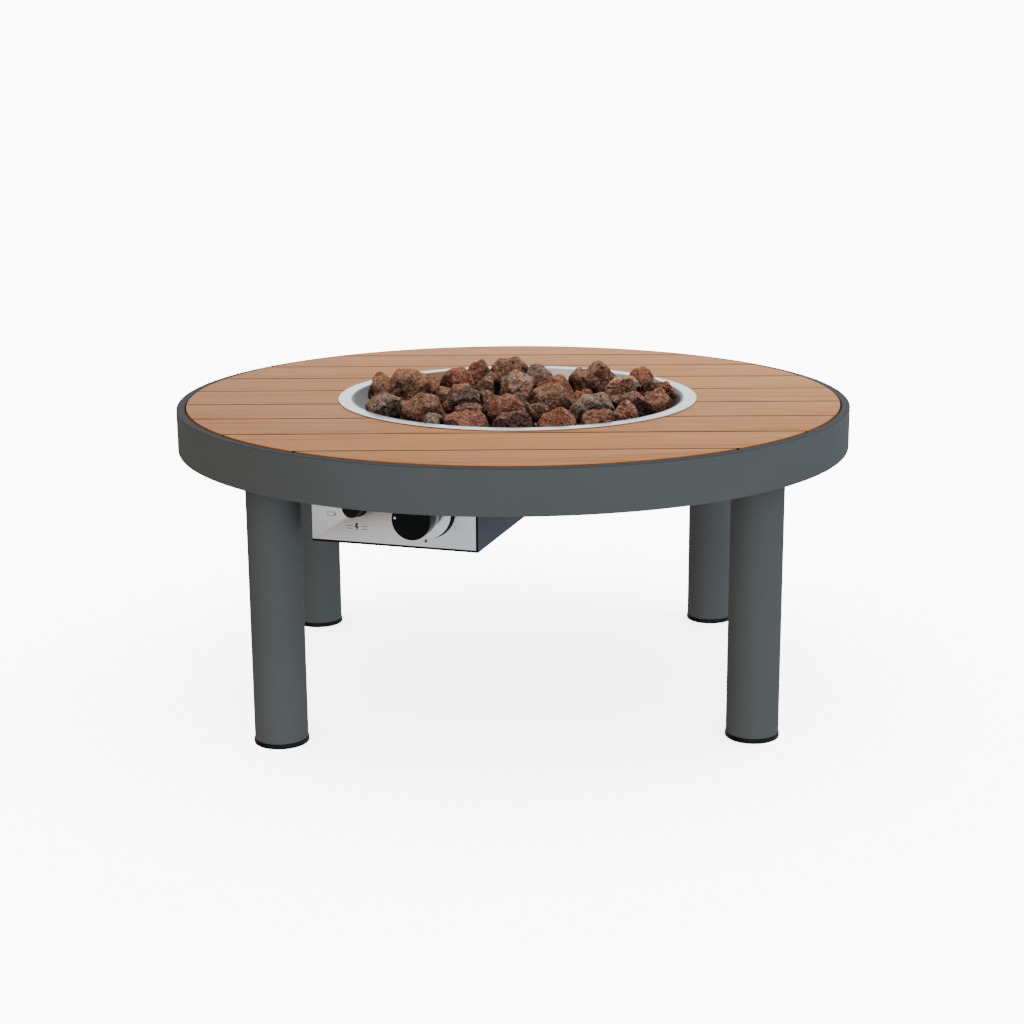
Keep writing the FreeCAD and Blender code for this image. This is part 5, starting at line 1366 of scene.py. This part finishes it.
def fastener_tree(sides):
    """A fastener along Z with its head below the seat. Its recess is a slot, or has a number of sides."""
    sizes = {"Head Radius": "Float", "Head Height": "Float", "Shank Radius": "Float", "Shank Length": "Float",
             "Recess Width": "Float", "Recess Depth": "Float"}
    tree = Pattern("fastener", sizes)

    def post(radius, low, high, corners=32):
        values = {"Vertices": corners, "Radius": radius, "Depth": high - low}
        solid = tree.node("GeometryNodeMeshCylinder", {}, values)
        lift = tree.node("ShaderNodeCombineXYZ", {}, {2: (high + low) * 0.5})
        return tree.node("GeometryNodeTransform", {}, {"Geometry": solid, "Translation": lift})

    head_height = tree.input("Head Height")
    bottom = head_height * -1.0
    head = post(tree.input("Head Radius"), bottom, head_height * 0.0)
    shank = post(tree.input("Shank Radius"), head_height * -0.5, tree.input("Shank Length"))
    if sides:
        recess = post(tree.input("Recess Width"), bottom * 2.0, bottom + tree.input("Recess Depth"), sides)
    else:
        length, depth = tree.input("Head Radius") * 3.0, tree.input("Recess Depth") * 2.0
        size = tree.node("ShaderNodeCombineXYZ", {}, {0: length, 1: tree.input("Recess Width"), 2: depth})
        blade = tree.node("GeometryNodeMeshCube", {}, {"Size": size})
        lift = tree.node("ShaderNodeCombineXYZ", {}, {2: bottom})
        recess = tree.node("GeometryNodeTransform", {}, {"Geometry": blade, "Translation": lift})
    whole = tree.node("GeometryNodeMeshBoolean", {"operation": "UNION", "solver": "EXACT"}, {"Mesh 2": head})
    tree.tree.links.new(shank.socket, whole.socket.node.inputs["Mesh 2"])
    cut = tree.node("GeometryNodeMeshBoolean", {"operation": "DIFFERENCE", "solver": "EXACT"},
                    {"Mesh 1": whole, "Mesh 2": recess})
    way = tree.node("GeometryNodeInputNamedAttribute", {"data_type": "FLOAT_VECTOR"}, {"Name": "way"})
    turn = tree.node("FunctionNodeAlignRotationToVector", {"axis": "Z"}, {"Vector": way})
    points = Field(tree, tree.inside.outputs[0])
    copies = {"Points": points, "Instance": cut, "Rotation": turn}
    tree.output(tree.node("GeometryNodeInstanceOnPoints", {}, copies), zinc)
    return tree


def make_fasteners(node, sides, head, shank, recess, edge):
    """Head and shank are radius and length, the recess is width and depth, all in millimetres."""
    seats, ways = fastener_axes(node, head[1] * MM)
    mesh = bpy.data.meshes.new("seats")
    mesh.from_pydata([tuple(seat) for seat in seats], [], [])
    way = mesh.attributes.new("way", "FLOAT_VECTOR", "POINT")
    way.data.foreach_set("vector", np.array(ways, dtype=np.float32).ravel())
    start = new_object("seats", mesh)
    keys = ("Head Radius", "Head Height", "Shank Radius", "Shank Length", "Recess Width", "Recess Depth")
    values = {key: value * MM for key, value in zip(keys, (*head, *shank, *recess))}
    piece = fastener_tree(sides).run(node + "_modelled", start, values)
    bpy.data.objects.remove(start)
    bevel(piece, edge * MM)
    print(node, "count", len(seats))
    return finish_piece(piece, "table", "fastener_steel", zinc, node)


HEX_CORNER = 5.0 / math.sqrt(3.0)
make_fasteners("slat_screws", 0, (4.5, 2.5), (2.4, 18.0), (1.0, 1.0), 0.3)
make_fasteners("small_screws", 0, (3.8, 2.4), (2.0, 10.0), (0.8, 1.0), 0.3)
make_fasteners("leg_bolts", 6, (6.6, 4.4), (4.0, 13.0), (HEX_CORNER, 2.4), 0.4)

# %% [markdown]
# ## The knob and its ring
#
# The knob is a deep black one that widens a little towards the front. It stands in a black ring, on a
# bright dish that mirrors the floor. All are round about the valve's axis, so the lathe makes them. A
# white dot shows where the knob points.

# %% Knob, ring and dish
knob_place = on_panel(0.0, CONTROL_HEIGHT)


def from_panel(points, closed=False):
    """An outline in millimetres of radius, height above the panel and arc, as metres."""
    return rounded([tuple(value * MM for value in point) for point in points], closed)


knob_outline = from_panel([
    (0.0, 13.5),
    (8.0, 13.5),
    (8.0, 18.6),
    (24.2, 18.6, 0.5),
    (24.9, 18.0, 0.5),
    (25.2, 18.6, 0.4),
    (28.3, 41.6, 12.0),
    (28.3, 67.0, 1.7),
    (26.2, 67.0, 0.3),
    (25.9, 66.7, 0.3),
    (0.0, 66.7),
])
knob = lathe("knob_cap", knob_outline, 192, knob_place, 40.0)
finish_piece(knob, "knob", "black_gloss", black_gloss, "control_knob")

dot_outline = from_panel([(0.0, 66.2), (1.9, 66.2), (1.9, 66.85, 0.15), (0.0, 66.85)])
dot = lathe("knob_mark", dot_outline, 48, on_panel(-23.2 * MM, CONTROL_HEIGHT + 2.3 * MM))
finish_piece(dot, "knob", "white_mark", white_mark, "knob_dot")

ring_outline = from_panel([
    (29.9, 0.2),
    (41.9, 0.2, 0.3),
    (39.6, 12.0, 0.3),
    (37.5, 12.0, 0.3),
    (37.5, 8.0),
    (29.9, 8.0),
], True)
ring = lathe("knob_ring", ring_outline, 192, knob_place)
finish_piece(ring, "table", "black_gloss", satin_black, "bezel_ring")

dish_outline = from_panel([
    (9.0, 8.1),
    (31.0, 8.1),
    (37.3, 12.15),
    (39.5, 12.15, 0.2),
    (39.5, 12.8, 0.25),
    (24.0, 13.9, 20.0),
    (9.0, 13.9, 0.2),
], True)
dish = lathe("knob_dish", dish_outline, 192, knob_place)
finish_piece(dish, "table", "bezel_chrome", chrome, "bezel_plate")

# %% [markdown]
# ## The seal with its painted shade, and the marks
#
# A strip of black rubber lies between the panel and the box as a seal, and it is also painted shade: it
# makes the thin dark line of shade round the panel. Printed ink is hardly thicker than the steel's own
# roughness, yet it needs a body of its own to be seen from every side, so each mark is a flat outline
# with a tenth of a millimetre of depth.

# %% Seal with painted shade, and marks
def plates(name, outlines, low, high, place):
    """Flat plates from outlines in millimetres, between two heights above the panel."""
    work = bmesh.new()
    for outline in outlines:
        under = [work.verts.new((x * MM, y * MM, low * MM)) for x, y in outline]
        over = [work.verts.new((x * MM, y * MM, high * MM)) for x, y in outline]
        work.faces.new(under)
        work.faces.new(over)
        for index in range(len(outline)):
            after = (index + 1) % len(outline)
            work.faces.new((under[index], under[after], over[after], over[index]))
    bmesh.ops.recalc_face_normals(work, faces=work.faces)
    mesh = bpy.data.meshes.new(name)
    work.to_mesh(mesh)
    work.free()
    mesh.transform(place)
    return new_object(name, mesh)


def strip(left, right, low, high):
    return [(left, low), (right, low), (right, high), (left, high)]


SEAL_AND_SHADE_OUTSIDE = (-177.3, 74.7, 322.0, 427.0)
SEAL_AND_SHADE_INSIDE = (-176.5, 71.7, 325.5)
strip_left, strip_right, strip_low, strip_high = SEAL_AND_SHADE_OUTSIDE
panel_left, panel_right, panel_low = SEAL_AND_SHADE_INSIDE
# Painted shade: the black strip makes the dark line of shade round the panel's edges, as well as the seal.
seal_and_shade = plates("panel_seal_and_shade", [
    strip(strip_left, panel_left, strip_low, strip_high),
    strip(panel_right, strip_right, strip_low, strip_high),
    strip(panel_left, panel_right, strip_low, panel_low),
], -1.2, -0.4, on_panel(0.0, 0.0))
finish_piece(seal_and_shade, "table", "lead_rubber", black_rubber)

INK = (0.02, 0.12)
DASH_LENGTH = 9.0
DASH_WIDTH = 0.8
SPARK = [(-2.2, 6.0), (1.8, 6.0), (0.2, 1.4), (3.0, 1.4), (-2.4, -7.0), (-0.6, -0.8), (-3.2, -0.8)]
spark_dashes = [strip(left, left + DASH_LENGTH, low, low + DASH_WIDTH)
                for left in (-16.0, 6.5) for low in (-2.7, 1.3)]
spark_mark = plates("spark_mark", [SPARK] + spark_dashes, *INK, on_panel(-107.0 * MM, 347.0 * MM))
finish_piece(spark_mark, "table", "black_plastic", ink)

CELL_FRAME = [strip(-7.0, 6.0, 2.4, 3.0), strip(-7.0, 6.0, -3.0, -2.4), strip(-7.0, -6.4, -2.4, 2.4),
              strip(5.4, 6.0, -2.4, 2.4), strip(6.0, 7.2, -1.2, 1.2)]
CELL_SIGNS = [strip(2.0, 4.4, -0.3, 0.3), strip(2.9, 3.5, 0.3, 1.2), strip(2.9, 3.5, -1.2, -0.3),
              strip(-5.2, -3.0, -0.3, 0.3)]
cell_mark = plates("cell_mark", CELL_FRAME + CELL_SIGNS, *INK, on_panel(-146.0 * MM, 364.0 * MM))
finish_piece(cell_mark, "table", "black_plastic", ink)

FLAME = [(0.1, 4.4), (1.5, 1.7), (2.1, -0.5), (1.4, -2.3), (0.0, -3.0), (-1.4, -2.3), (-2.1, -0.5),
         (-1.5, 1.0), (-0.8, 0.3), (-0.9, 2.3)]
flame_mark = plates("flame_mark", [FLAME], *INK, on_panel(-3.0 * MM, 334.5 * MM))
finish_piece(flame_mark, "table", "black_plastic", ink)

# %% [markdown]
# ## The igniter
#
# Under its round cap sits a small cell. Pressing the button in the cap's middle makes the spark. The
# cap is ribbed so that fingers can unscrew it, and ribs that go round an axis at equal steps are a
# rule, so Geometry Nodes set them.

# %% Igniter
igniter_frame = on_panel(IGNITER_PLACE, CONTROL_HEIGHT)
CAP_RIBS = 36


def ribs(name, material, count, radius, size, height, place):
    """Small upright ribs round an axis, set by Geometry Nodes."""
    sizes = {"Count": "Int", "Radius": "Float", "Size": "Vector", "Height": "Float"}
    tree = Pattern("ribs round an axis", sizes)
    circle = {"Vertices": tree.input("Count"), "Radius": tree.input("Radius")}
    points = tree.node("GeometryNodeMeshCircle", {}, circle)
    block = tree.node("GeometryNodeMeshCube", {}, {"Size": tree.input("Size")})
    number = tree.node("GeometryNodeInputIndex", {}, {})
    turn = tree.node("ShaderNodeCombineXYZ", {}, {2: number * (2 * math.pi) / tree.input("Count")})
    copies = {"Points": points, "Instance": block, "Rotation": turn}
    stood = tree.node("GeometryNodeInstanceOnPoints", {}, copies)
    lift = tree.node("ShaderNodeCombineXYZ", {}, {2: tree.input("Height")})
    moved = tree.node("GeometryNodeTransform", {}, {"Geometry": stood, "Translation": lift})
    tree.output(moved, material)
    piece = tree.run(name, base, {"Count": count, "Radius": radius, "Size": size, "Height": height})
    piece.data.transform(place)
    return bevel(piece, 0.15 * MM, 1)


cap_outline_points = from_panel([
    (11.3, 4.0),
    (13.5, 4.0, 0.3),
    (13.5, 22.0, 0.3),
    (13.9, 22.4, 0.2),
    (13.9, 25.0, 1.1),
    (8.3, 25.0, 0.4),
    (8.3, 22.5),
    (11.3, 22.5),
], True)
igniter_cap = lathe("igniter_cap_round", cap_outline_points, 144, igniter_frame)
cap_ribs = ribs("igniter_cap_ribs", black_plastic, CAP_RIBS, 13.5 * MM, (0.8 * MM, 1.1 * MM, 16.5 * MM),
                12.8 * MM, igniter_frame)
igniter_cap = joined("igniter_cap_round", [igniter_cap, cap_ribs])
finish_piece(igniter_cap, "table", "black_plastic", black_plastic, "igniter_cap")

button_outline = from_panel([
    (0.0, 19.2),
    (9.3, 19.2),
    (9.3, 22.2, 0.3),
    (8.0, 22.2),
    (8.0, 27.5, 1.3),
    (6.6, 27.5, 0.3),
    (6.3, 27.1, 0.3),
    (0.0, 27.1),
])
button = lathe("push_button", button_outline, 96, igniter_frame, 40.0)
finish_piece(button, "igniter_plunger", "black_plastic", black_plastic, "igniter_button")

housing = softened("igniter_housing", "igniter_body", 0.25 * MM)
finish_piece(housing, "table", "black_plastic", black_plastic, "igniter_housing")

# %% [markdown]
# ## Leads
#
# Two thin leads run from the box to the spark electrode and the thermocouple in the bowl. A lead is a
# smooth curve through the air, held at both ends, so each is a curve with the route's points as its
# control points and a round section.

# %% Leads
def route_curve(name, points, radius):
    curve = bpy.data.curves.new(name, "CURVE")
    curve.dimensions = "3D"
    line = curve.splines.new("NURBS")
    line.points.add(len(points) - 1)
    for point, spot in zip(points, line.points):
        place = box_frame @ Vector([value * MM for value in point])
        spot.co = (*place, 1.0)
    line.use_endpoint_u = True
    line.order_u = 3
    line.resolution_u = 14
    curve.bevel_depth = radius
    curve.bevel_resolution = 5
    curve.use_fill_caps = True
    return new_object(name, curve)


def as_mesh(piece):
    mesh = evaluated_mesh(piece)
    name = piece.name
    bpy.data.objects.remove(piece)
    mesh.name = name
    smooth(mesh, 60.0)
    return new_object(name, mesh)


IGNITER_ROUTE = [
    (-20, -80, 388), (-20, -80, 347), (-24, -138, 337), (-26, -173, 340), (-28, -219, 339),
    (-44, -262, 335), (-80, -306, 352), (-105.7, -346, 380), (-105.7, -380.4, 380),
]
PROBE_ROUTE = [
    (20, -80, 388), (20, -80, 347), (24, -138, 340), (25, -173, 344), (27, -219, 345),
    (36, -262, 348), (43, -305, 360), (46, -352, 374), (46, -395, 380), (29, -395, 380),
]
spark_lead = as_mesh(route_curve("spark_lead", IGNITER_ROUTE, 1.5 * MM))
finish_piece(spark_lead, "table", "lead_rubber", black_rubber, "igniter_lead")

probe_lead = as_mesh(route_curve("probe_lead", PROBE_ROUTE, 1.0 * MM))
probe_outline = from_panel([
    (0.0, 388.0), (3.2, 388.0, 0.4), (3.2, 405.5), (5.2, 405.5, 0.3), (5.2, 408.5, 0.3), (3.2, 408.5),
    (3.2, 419.0, 2.0), (1.9, 421.6, 1.0), (0.0, 422.2),
])
probe = lathe("probe", probe_outline, 48, box_frame @ Matrix.Translation((20.0 * MM, -80.0 * MM, 0.0)))
probe_lead = joined("probe_and_lead", [probe, probe_lead])
finish_piece(probe_lead, "table", "stainless_sheet", bowl_steel, "thermocouple")

# %% [markdown]
# ## What the frame keeps
#
# The rest are small pieces inside the valve and the igniter, whose solids are right as they are. They
# keep their own meshes, and get the finish of their slot.

# %% Finishes for the frame's own meshes
for part in frame["record"]["subparts"]:
    node = frame["nodes"][part["node"]]
    for holder in node.material_slots:
        holder.material = finishes[part["material_slot"]]

bpy.data.objects.remove(base)
